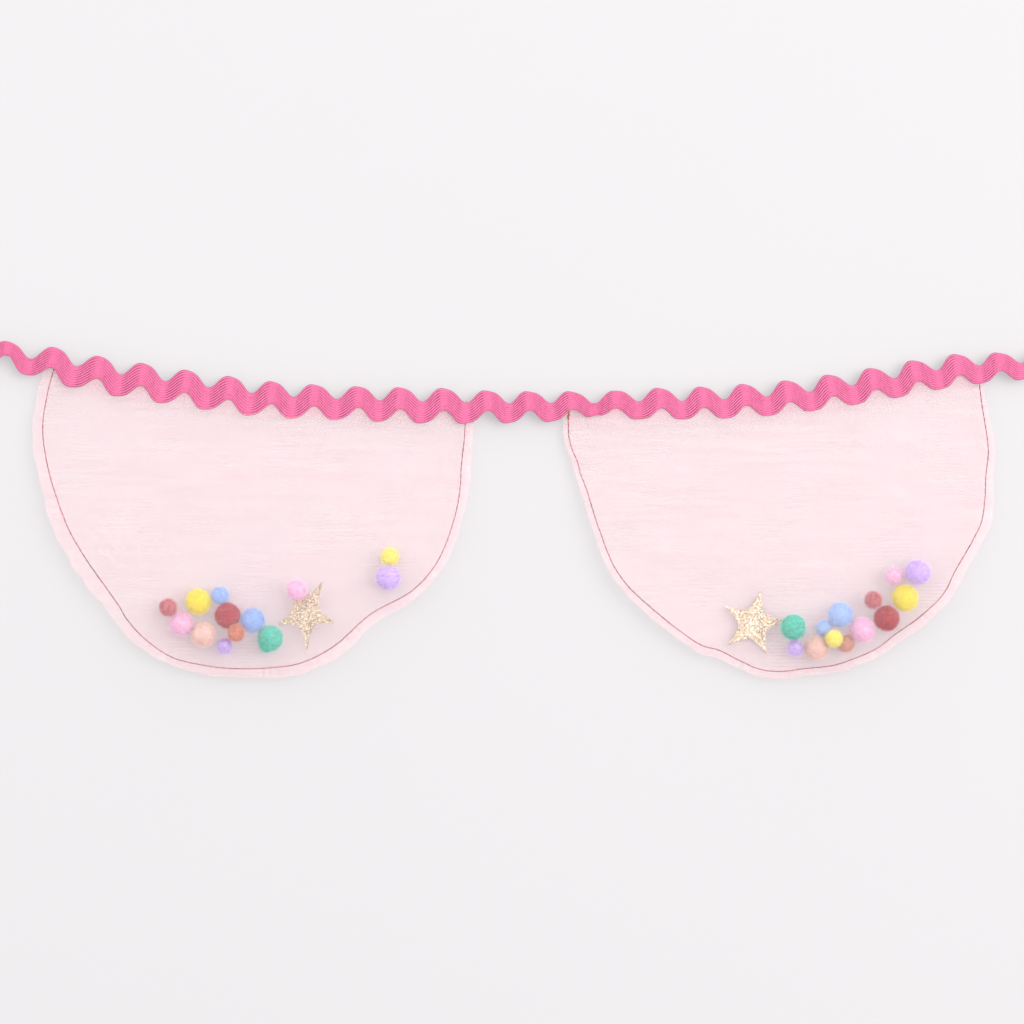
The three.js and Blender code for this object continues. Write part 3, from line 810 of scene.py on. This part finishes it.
@dataclass(frozen=True)
class Row:
    """A row of stitches: its step and each stitch's sizes, in millimetres."""

    step: float
    length: float
    thick: float
    wander: float
    finish: ThreadFinish = ThreadFinish("seam_thread")

    def sew(self, name: str, points: np.ndarray, slot: str, seed: int) -> None:
        """Sews the row as a piece of its own along the points, with a seed for its small unevenness."""
        path = mesh_object(name + "_path", points)
        stitches = StitchMaker().make(
            name, Path=path, Step=self.step * MM, Length=self.length * MM, Thick=self.thick * MM,
            Wander=self.wander * MM, Seed=seed, Finish=self.finish.build(),
        )
        settle(stitches, slot)
        bpy.data.objects.remove(path)


@dataclass
class Tape:
    """The ric-rac tape and the rows of stitches along its middle. Sizes are in millimetres."""

    pitch: float = 17.36
    first: float = -0.6
    drift: float = 8.0
    lean: float = 0.21
    rounding: float = 0.55
    round_lean: float = 0.41
    lop_lean: float = 0.67
    thick: float = 0.95
    ridge: float = 0.14
    strands: int = 9
    steps: int = 620
    across: int = 55
    sunk: float = 0.14
    sewn: tuple[float, float] = (0.02, 0.98)
    seed: int = 11
    row: Row = Row(3.1, 2.3, 0.3, 0.12, ThreadFinish("tape_thread", (0.55, 0.1, 0.22), (0.40, 0.055, 0.14)))

    def build(self) -> None:
        """Makes the braid and its stitches."""
        shares = np.linspace(0, 1, self.steps)
        points = SWAG.at(shares)
        stations, *columns = UNEVEN.T
        shift, half, height, lop = (np.interp(points[:, 0], stations, column) for column in columns)
        run = shares * SWAG.length - self.first + self.drift * (shares - 0.5) ** 2 - shift
        path = mesh_object(
            "tape_path", points, phase=TURN * run / self.pitch, half_width=half * MM, height=height * MM,
            lop=lop * MM,
        )
        braid = BraidMaker().make(
            "ric_rac_tape", Path=path, Steps=self.steps, Across=self.across, Strands=float(self.strands),
            Lean=self.lean, Round=self.rounding * MM, RoundLean=self.round_lean, LopLean=self.lop_lean,
            RunScale=self.pitch / TURN, Thick=self.thick * MM, Ridge=self.ridge * MM,
            Finish=BraidFinish(strands=self.strands).build(),
        )
        braid.data.shade_smooth()
        settle(braid, "braid", "tape")
        bpy.data.objects.remove(path)
        front = self.sunk - self.thick - 2 * self.ridge
        for name, depth in (("tape_stitches_front", front), ("tape_stitches_back", -self.sunk)):
            course = SWAG.at(np.linspace(*self.sewn, SWAG.samples))
            course[:, 1] = depth
            self.row.sew(name, course, "braid", self.seed)


@dataclass(frozen=True)
class Crease:
    """A soft crease in a panel, from one point to another: width and rise in millimetres."""

    start: tuple[float, float]
    end: tuple[float, float]
    width: float = 3.0
    rise: float = 0.5

    def height(self, x: np.ndarray, z: np.ndarray) -> np.ndarray:
        """Gives the crease's height, which fades across it and towards its ends."""
        (x0, z0), (x1, z1) = self.start, self.end
        length = math.hypot(x1 - x0, z1 - z0)
        along = ((x - x0) * (x1 - x0) + (z - z0) * (z1 - z0)) / length**2
        off = ((x - x0) * (z1 - z0) - (z - z0) * (x1 - x0)) / length
        fade = np.clip(1 - np.abs(2 * along - 1), 0, 1) ** 0.5
        return self.rise * fade * np.exp(-((off / self.width) ** 2))


@dataclass
class Film:
    """A panel's stretched film on a raster: heights towards its own side, held off the filling."""

    loop: np.ndarray
    filling: np.ndarray
    face: Face
    cell: float = 1.0
    margin: float = 3.0
    passes: int = 260
    over: float = 1.9
    reach: float = 0.9
    clear: float = 0.5
    puff: float = 0.00024

    def __post_init__(self) -> None:
        """Lays out the raster and stretches the film."""
        toward = self.face.value
        self.low = self.loop[:, [0, 2]].min(0) - self.margin * self.cell
        high = self.loop[:, [0, 2]].max(0) + self.margin * self.cell
        x, z = np.meshgrid(*(np.arange(start, end, self.cell) for start, end in zip(self.low, high)))
        gap = np.hypot(x[..., None] - self.loop[:, 0], z[..., None] - self.loop[:, 2])
        height = toward * self.loop[gap.argmin(-1), 1]
        free = self.inside(x, z)
        held = np.full_like(x, -np.inf)
        for cx, cy, cz, radius in self.filling:
            off = np.maximum(np.hypot(x - cx, z - cz) - self.reach, 0)
            reach = radius + self.clear
            dome = toward * cy + np.sqrt(np.maximum(reach**2 - off**2, 0))
            held = np.where(off < reach, np.maximum(held, dome), held)
        rows, columns = np.indices(x.shape)
        for step in range(2 * self.passes):
            mean = np.zeros_like(height)
            across = height[1:-1, :-2] + height[1:-1, 2:]
            mean[1:-1, 1:-1] = (height[:-2, 1:-1] + height[2:, 1:-1] + across) / 4
            moved = height + self.over * (mean + self.puff - height)
            turn = free & ((rows + columns) % 2 == step % 2)
            height = np.where(turn, np.maximum(moved, held), height)
        self.height = height

    def inside(self, x: np.ndarray, z: np.ndarray) -> np.ndarray:
        """Says which places lie inside the loop."""
        result = np.zeros(x.shape, bool)
        for (px, _, pz), (qx, _, qz) in zip(self.loop, np.roll(self.loop, -1, axis=0)):
            if pz != qz:
                result ^= ((pz > z) != (qz > z)) & (x < px + (z - pz) / (qz - pz) * (qx - px))
        return result

    def y(self, x: np.ndarray, z: np.ndarray) -> np.ndarray:
        """Gives the film's y at places in the hanging plane."""
        u = (x - self.low[0]) / self.cell
        v = (z - self.low[1]) / self.cell
        i = np.clip(u.astype(int), 0, self.height.shape[1] - 2)
        k = np.clip(v.astype(int), 0, self.height.shape[0] - 2)
        s, t = u - i, v - k
        h = self.height
        below = h[k, i] * (1 - s) + h[k, i + 1] * s
        above = h[k + 1, i] * (1 - s) + h[k + 1, i + 1] * s
        return self.face.value * (below * (1 - t) + above * t)


@dataclass
class PomPom:
    """One pom pom, in the place of its solid. Sizes are in millimetres."""

    node: str
    dye: Pile
    seed: int
    faded: float = 0.0
    pile: float = 1.35
    fibre: float = 0.07
    per_mm2: float = 14.0
    lump: float = 0.9
    tuft: Place = (0.0, 0.0, 0.0)

    def place(self) -> tuple[np.ndarray, float]:
        """Gives the solid's centre and radius."""
        low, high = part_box(self.node)
        size = (high - low) / MM
        return np.array((low + high) / 2 / MM), float(max(size) / 2)

    def build(self, maker: PileMaker) -> None:
        """Makes the fuzzy ball."""
        centre, radius = self.place()
        finish = PileFinish(self.dye, self.faded, FLECKS.get(self.dye, PileFinish.fleck))
        ball = maker.make(
            self.node + "_pile", Centre=Vector(centre * MM), Radius=radius * MM, Pile=self.pile * MM,
            Fibre=self.fibre * MM, Density=self.per_mm2 / MM**2, Lump=self.lump * MM,
            Tuft=Vector(self.tuft), Seed=self.seed, Finish=finish.build(),
        )
        settle(ball, f"pom_{self.dye.name.lower()}", self.node)


@dataclass
class Star:
    """One glitter star: its card keeps its solid's shape, and flakes cover it. Sizes are in millimetres."""

    node: str
    seed: int
    flake: float = 0.26
    per_mm2: float = 6.8
    bead: float = 0.3
    inwards: Sequence[float] = (0.0, 0.2, 0.4, 0.6, 0.8)

    def build(self, maker: GlitterMaker, card: Piece) -> None:
        """Dresses the card and scatters the flakes on it."""
        finish = GlitterFinish().build()
        card.data.materials.clear()
        card.data.materials.append(finish)
        flakes = maker.make(
            self.node + "_flakes", Card=card, Flake=self.flake * MM, Density=self.per_mm2 / MM**2,
            Seed=self.seed, Finish=finish,
        )
        settle(flakes, "glitter")

    def bearing(self, card: Piece) -> np.ndarray:
        """Gives beads on the card's corners and inside its rim that hold the cloth off it."""
        corners = np.array([v.co for v in card.data.vertices]) / MM
        middle = corners.mean(0)
        beads = np.vstack([corners + (middle - corners) * share for share in self.inwards])
        return np.hstack([beads, np.full((len(beads), 1), self.bead)])


@dataclass
class Pocket:
    """One pocket: its front and back panel, the seam that joins them, and what it holds. Sizes are in
    millimetres. A crowding of 1 is one layer of cloth, lying flat."""

    side: Side
    seam_table: Sequence[tuple[float, float, float, float]]
    poms: Sequence[PomPom]
    star: Star
    creases: Sequence[Crease] = ()
    columns: int = 240
    hem_rows: int = 8
    body_rows: int = 84
    edge_rows: int = 5
    top_above_centre: float = 0.8
    hem_depth: float = 10.0
    back_hem: float = 0.35
    least_drop: float = 0.3
    cloth: float = 0.14
    seam_gap: float = 0.12
    top_lift: float = 0.0875
    tuck: float = 0.3
    most_tuck: float = 0.4
    flap_crowding: Place = (0.12, 1.0, 1.2)
    fold_crowding: float = 0.8
    row_spread: float = 0.9
    edge_crowding: tuple[float, float] = (1.26, 0.1)
    crease_crowding: float = 0.8
    pucker: float = 0.22
    pucker_waves: Place = (310, 37, 53)
    pucker_reach: float = 4.5
    pucker_start: float = 1.2
    pucker_crowding: float = 0.16
    crowded_reach: float = 6.0
    ragged: tuple[Place, Place] = ((0.05, 71, 0), (0.04, 173, 1))
    merged: float = 0.01
    half_round: float = 0.79
    stitches: Row = Row(2.6, 2.75, 0.33, 0.05)
    knotted: bool = False

    def named(self, face: Face, what: str) -> str:
        """Names a thing of one face of the pocket."""
        return f"{self.side.value}_{face.name.lower()}_{what}"

    def outline(self) -> Lines:
        """Works out the panel's outline.

        Returns:
            The top edge, the hem's fold, the seam and the cut edge, as one point for each column.
        """
        table = np.array(self.seam_table)
        seam_curve = Spline(table[:, :3])
        first, last = table[0, :3], table[-1, :3]
        swag = np.array(SWAG.points, float) + (0, 0, self.top_above_centre)
        between = swag[(swag[:, 0] > first[0]) & (swag[:, 0] < last[0])]
        top_curve = Spline(np.vstack([first, between, last]))
        shares = np.linspace(0, 1, self.columns + 1)
        seam = seam_curve.at(shares)
        top = top_curve.at(shares)
        turned = np.minimum(1, self.hem_depth / np.maximum(top[:, 2] - seam[:, 2], self.least_drop))
        fold = top + (seam - top) * turned[:, None]
        widths = np.interp(seam_curve.stations(shares), np.arange(len(table)), table[:, 3])
        along = seam_curve.tangents(shares)
        out = np.stack([along[:, 2], 0 * along[:, 0], -along[:, 0]], axis=1)
        out /= np.linalg.norm(out, axis=1, keepdims=True)
        centre = np.array([(first[0] + last[0]) / 2, 0, 0])
        out *= np.sign(((seam - centre) * out).sum(1))[:, None]
        ragged = 1 + sum(depth * np.sin(waves * shares + start) for depth, waves, start in self.ragged)
        edge = seam + out * (widths * ragged)[:, None]
        return {"top": top, "fold": fold, "seam": seam, "edge": edge, "shares": shares}

    def films(self, lines: Lines, filling: np.ndarray) -> dict[Face, Film]:
        """Stretches both panels' films over the filling."""
        loop = np.vstack([lines["seam"], lines["top"][::-1]])
        index = np.arange(len(loop))
        inset = 0.5 * self.columns - np.abs(index - 1.5 * self.columns)
        lift = np.where(index > self.columns, self.top_lift * np.clip(inset, 0, 1), 0)
        result = {}
        for face in Face:
            rim = loop.copy()
            rim[:, 1] += face.value * (self.seam_gap / 2 + lift)
            result[face] = Film(rim, filling, face)
        return result

    def panel(self, face: Face, lines: Lines, films: dict[Face, Film]) -> Piece:
        """Makes a panel: the turned hem inside, the fold at its top, the body, and the seam's allowance.

        Args:
            face: which panel.
            lines: the outline from outline().
            films: both stretched films.

        Returns:
            The finished panel.
        """
        top, fold, seam, edge = (lines[k] for k in ("top", "fold", "seam", "edge"))
        other = films[Face(-face.value)]
        rows, crowding = [], []

        def lay(start: np.ndarray, end: np.ndarray, share: float, layers: float, tucked: bool = False):
            """Adds one row of points, part of the way from one line to the other."""
            row = start + (end - start) * share
            x, z = row[:, 0], row[:, 2]
            y = films[face].y(x, z)
            if tucked:
                y = y + np.clip(self.tuck * (other.y(x, z) - y), -self.most_tuck, self.most_tuck)
            if end is edge:
                y = seam[:, 1] + face.value * self.seam_gap / 2
            row[:, 1] = y
            rows.append(row)
            crowding.append(np.full(len(row), layers))

        flap = fold if face is Face.FRONT else top + (fold - top) * self.back_hem
        hem_shares = np.arange(self.hem_rows) / self.hem_rows
        least, more, power = self.flap_crowding
        for share in hem_shares:
            lay(flap, top, share, least + more * share**power, tucked=True)
        for share in hem_shares:
            lay(top, fold, share, 1.0 + self.fold_crowding * (1 - share))
        for share in np.arange(self.body_rows) / self.body_rows:
            lay(fold, seam, share**self.row_spread, 1.0)
        most, less = self.edge_crowding
        for share in np.arange(self.edge_rows + 1) / self.edge_rows:
            lay(seam, edge, share, most - less * share)
        points = np.array(rows)
        density = np.array(crowding)
        self.gather(points, density, lines)
        folded = sum(crease.height(points[..., 0], points[..., 2]) for crease in self.creases)
        body = slice(2 * self.hem_rows, 2 * self.hem_rows + self.body_rows)
        points[body, :, 1] += face.value * folded[body]
        density[body] += self.crease_crowding * folded[body]
        return self.sheet(face, points, density)

    def gather(self, points: np.ndarray, density: np.ndarray, lines: Lines) -> None:
        """Puckers the cloth along the seam, where the thread draws it in, and crowds it there."""
        off = np.linalg.norm(points[..., [0, 2]] - lines["seam"][None, :, [0, 2]], axis=2)
        shares = lines["shares"][None, :]
        many, unsteady, few = self.pucker_waves
        wave = np.sin(many * shares + 2 * np.sin(unsteady * shares)) * np.sin(few * shares + 1)
        near = np.exp(-((off / self.pucker_reach) ** 2)) * np.clip(off / self.pucker_start, 0, 1)
        points[..., 1] += self.pucker * wave * near
        density += self.pucker_crowding * np.abs(wave) * np.exp(-((off / self.crowded_reach) ** 2))

    def sheet(self, face: Face, points: np.ndarray, density: np.ndarray) -> Piece:
        """Skins the rows of points as one sheet of cloth and notes its weave."""
        rows, width = density.shape
        index = np.arange(rows * width).reshape(rows, width)
        corners = [index[:-1, :-1], index[1:, :-1], index[1:, 1:], index[:-1, 1:]]
        quads = np.stack(corners, axis=-1).reshape(-1, 4)
        if face is Face.BACK:
            quads = quads[:, ::-1]
        piece = mesh_object(self.named(face, "cloth"), points.reshape(-1, 3), quads.tolist())
        weave = piece.data.attributes.new("cloth", "FLOAT_VECTOR", "POINT")
        notes = np.stack([points[..., 0], points[..., 2], density], axis=-1).reshape(-1, 3)
        weave.data.foreach_set("vector", notes.astype(np.float32).ravel())
        cut = bmesh.new()
        cut.from_mesh(piece.data)
        bmesh.ops.remove_doubles(cut, verts=cut.verts, dist=self.merged * MM)
        bmesh.ops.dissolve_degenerate(cut, edges=cut.edges, dist=self.merged * MM / 2)
        cut.to_mesh(piece.data)
        cut.free()
        piece.data.materials.append(OrganzaFinish().build())
        piece.data.shade_smooth()
        return piece

    def seams(self, lines: Lines) -> None:
        """Sews the stitches round the seam, on the front and on the back, and the knot at its start."""
        for face, seed in zip(Face, SEAM_SEEDS):
            course = lines["seam"].copy()
            course[:, 1] += face.value * (self.seam_gap / 2 + self.cloth)
            self.stitches.sew(f"{self.side.value}_seam_{face.name.lower()}", course, "thread", seed)
        if self.knotted:
            course = lines["seam"][0] + np.array(KNOT_COURSE)
            KNOT.sew(f"{self.side.value}_seam_knot", course, "thread", KNOT_SEED)

    def build(self, cards: dict[str, Piece], piles: PileMaker, flakes: GlitterMaker) -> None:
        """Makes the pocket's cloth, its seams and its filling.

        Args:
            cards: the frame's nodes, among them the star's card.
            piles: the maker of pom poms.
            flakes: the maker of glitter.
        """
        card = cards[self.star.node]
        balls = np.array([[*centre, radius] for centre, radius in (pom.place() for pom in self.poms)])
        filling = np.vstack([balls, self.star.bearing(card)])
        lines = self.outline()
        films = self.films(lines, filling)
        for face in Face:
            node = self.named(face, "panel")
            cloth = settle(self.panel(face, lines, films), "organza", node)
            low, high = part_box(node)
            width, drop = high.x - low.x, high.z - low.z + self.hem_depth * MM
            area = self.half_round * width * drop
        self.seams(lines)
        for pom in self.poms:
            pom.build(piles)
        self.star.build(flakes, card)


def kit(side: Side) -> list[PomPom]:
    """Lists a pocket's pom poms. Each row of the table has the name and how faded it is in either pocket."""
    result = []
    for index, (name, *faded) in enumerate(POMS):
        dye = Pile[name.split("_")[0].upper()]
        seed = FIRST_SEED + SEED_STEP * index
        result.append(PomPom(f"{side.value}_pom_{name}", dye, seed, faded[list(Side).index(side)]))
    return result


FIRST_SEED = 31
SEED_STEP = 7
SEAM_SEEDS = (21, 22)
KNOT_SEED = 5
KNOT = Row(0.55, 1.0, 0.7, 0.18, ThreadFinish("knot_thread", (0.36, 0.20, 0.06), (0.30, 0.05, 0.04), 700.0))
KNOT_COURSE = ((0.1, -0.6, -2.2), (-0.05, -0.65, -3.6), (-0.1, -0.45, -5.6))
POMS = (
    ("maroon_small", 0.32, 0.32), ("yellow_big", 0.0, 0.0), ("blue_small", 0.0, 0.22),
    ("pink_big", 0.0, 0.0), ("peach_big", 0.0, 0.0), ("maroon_big", 0.0, 0.0), ("terracotta_small", 0.0, 0.32),
    ("lilac_small", 0.0, 0.0), ("blue_big", 0.0, 0.2), ("green_big", 0.0, 0.0), ("pink_small", 0.0, 0.0),
    ("yellow_small", 0.2, 0.26), ("lilac_big", 0.0, 0.0),
)
FLECKS = {Pile.MAROON: 0.75, Pile.GREEN: 0.6, Pile.TERRACOTTA: 0.35}
HEM_Y = 1.0
LEFT_SEAM = (
    (-183.1, HEM_Y, 18, 3.4), (-186.4, HEM_Y, 5.5, 4.0), (-188.2, 0.2, -8.5, 4.2), (-185.7, -1.2, -25, 4.4),
    (-180.6, -2.2, -41, 5.4), (-176.9, -2.5, -49.9, 5.8), (-170.6, -2.7, -60.6, 6.2),
    (-157.6, -2.8, -79, 5.2), (-154.3, -2.8, -84.5, 4.6), (-147.3, -2.7, -92.4, 3.8),
    (-136.5, -1.8, -100, 3.2), (-125, -1.4, -103.1, 3.4), (-112, -1.2, -104.7, 3.6),
    (-97, -1.3, -104.4, 4.0), (-85, -1.5, -102.6, 4.4), (-72, -1.9, -96.2, 4.6), (-56.5, -2.5, -82.9, 4.0),
    (-39.5, -2.2, -73.1, 3.2), (-29.7, -1.7, -61.6, 3.2), (-22.8, -0.7, -43.5, 3.4), (-20.8, 0.1, -32, 3.6),
    (-20.3, 0.4, -23.5, 3.8), (-19, HEM_Y, -10.5, 3.6), (-18.5, HEM_Y, 1.3, 3.4),
)
RIGHT_SEAM = (
    (22.8, HEM_Y, 1, 2.0), (22.6, HEM_Y, -6, 2.0), (22.9, 0.9, -12, 2.0), (24.3, 0.6, -17.3, 2.0),
    (26.1, 0.4, -21.3, 2.1), (27.6, 0.0, -27, 2.2), (29.5, -0.6, -31.8, 2.4), (34.4, -1.7, -47.4, 2.6),
    (40.5, -2.3, -63, 2.6), (45.8, -2.5, -70.9, 2.8), (51.7, -2.6, -76.8, 3.0), (68, -2.5, -90.2, 3.2),
    (76.5, -2, -95.6, 3.2), (82.5, -1.5, -97.2, 3.2), (91, -1.1, -101.4, 3.2), (99, -0.8, -104.9, 3.0),
    (107.5, -0.8, -105.9, 3.0), (117, -0.8, -104.8, 3.0), (128.5, -0.9, -103.5, 3.0),
    (138, -1.1, -100.4, 3.2), (146.2, -1.2, -96.6, 3.4), (154, -1.5, -90.6, 3.6), (162, -1.8, -85, 3.6),
    (172.4, -2.2, -75.2, 3.6), (177.3, -2.3, -65.8, 3.8), (187.8, -1.6, -46.5, 3.8),
    (189.4, -1.1, -37.5, 3.5), (189.9, -0.6, -28, 3.2), (191, 0.3, -17, 2.7), (188.4, HEM_Y, 2.5, 2.0),
    (186.9, HEM_Y, 15.8, 1.8),
)
LEFT_CREASES = (
    Crease((-168, -46), (-150, -62), 1.6, 0.5),
    Crease((-171, -50), (-155, -67), 1.4, 0.45),
    Crease((-62, -40), (-46, -58), 3.0, 0.5),
    Crease((-120, -30), (-60, -24), 4.0, 0.3),
    Crease((-150, -20), (-110, -34), 4.0, 0.3),
)
RIGHT_CREASES = (
    Crease((70, -30), (130, -22), 4.0, 0.3),
    Crease((100, -60), (130, -66), 2.5, 0.35),
    Crease((150, -30), (172, -50), 3.5, 0.35),
    Crease((48, -40), (66, -62), 3.0, 0.35),
)


@dataclass
class Studio:
    """The wall and floor behind the garland, the soft light, and the camera. Sizes are in metres."""

    view_width: float = 0.4096
    distance: float = 1.2
    centre: Place = (0.0, -0.003, -0.042)
    wall_y: float = 0.0042
    floor_z: float = -0.42
    half_width: float = 2.4
    wall_top: float = 1.6
    floor_reach: float = 2.6
    sensor: float = 36.0
    key_power: float = 148.0
    key_size: float = 3.0
    key_colour: Colour = (1.0, 0.99, 0.985)
    key_place: Place = (2.5, -3.2, 0.35)
    world: float = 1.81

    def sheet(self, name: str, ends: tuple[Place, Place], finish: Finish) -> None:
        """Makes a plain stage surface as wide as the stage, between two lines along X."""
        (_, y0, z0), (_, y1, z1) = ends
        wide = self.half_width
        mesh = bpy.data.meshes.new(name)
        mesh.from_pydata([(-wide, y0, z0), (wide, y0, z0), (wide, y1, z1), (-wide, y1, z1)], [], [range(4)])
        mesh.materials.append(finish.build())
        linked(name, mesh)

    def build(self) -> None:
        """Sets up the wall, the floor, the lights and the camera."""
        y, z, deep = self.wall_y, self.floor_z, self.floor_reach
        self.sheet("wall", ((0, y, z), (0, y, self.wall_top)), BackdropFinish(one_sided=True))
        self.sheet("floor", ((0, y - deep, z), (0, y + deep, z)), BackdropFinish("pale_floor"))
        scene = bpy.context.scene
        scene.world = bpy.data.worlds.new("soft_room")
        scene.world.use_nodes = True
        sky = scene.world.node_tree.nodes["Background"]
        sky.inputs["Color"].default_value = (1.0, 1.0, 1.0, 1.0)
        sky.inputs["Strength"].default_value = self.world
        lamp = bpy.data.lights.new("key", "AREA")
        lamp.energy = self.key_power
        lamp.size = self.key_size
        lamp.color = self.key_colour
        key = linked("key", lamp)
        key.location = self.key_place
        towards = Vector(self.centre) - Vector(self.key_place)
        key.rotation_euler = towards.to_track_quat("-Z", "Y").to_euler()
        lens = bpy.data.cameras.new("camera")
        lens.sensor_width = self.sensor
        lens.lens = self.sensor * self.distance / self.view_width
        camera = linked("camera", lens)
        camera.location = Vector(self.centre) - Vector((0, self.distance, 0))
        camera.rotation_euler = (math.pi / 2, 0, 0)
        scene.camera = camera
        scene.view_settings.view_transform = "Standard"


def main() -> None:
    """Builds the garland in order."""
    logging.basicConfig(level=logging.INFO, format="%(name)s: %(message)s")
    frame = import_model()
    Studio().build()
    Tape().build()
    piles = PileMaker()
    flakes = GlitterMaker()
    left = kit(Side.LEFT)
    next(pom for pom in left if pom.dye is Pile.GREEN).tuft = (-0.42, -0.1, -0.9)
    for pocket in (
        Pocket(Side.LEFT, LEFT_SEAM, left, Star("left_star", 41), LEFT_CREASES),
        Pocket(Side.RIGHT, RIGHT_SEAM, kit(Side.RIGHT), Star("right_star", 43), RIGHT_CREASES, knotted=True),
    ):
        pocket.build(frame["nodes"], piles, flakes)


if __name__ == "__main__":
    main()
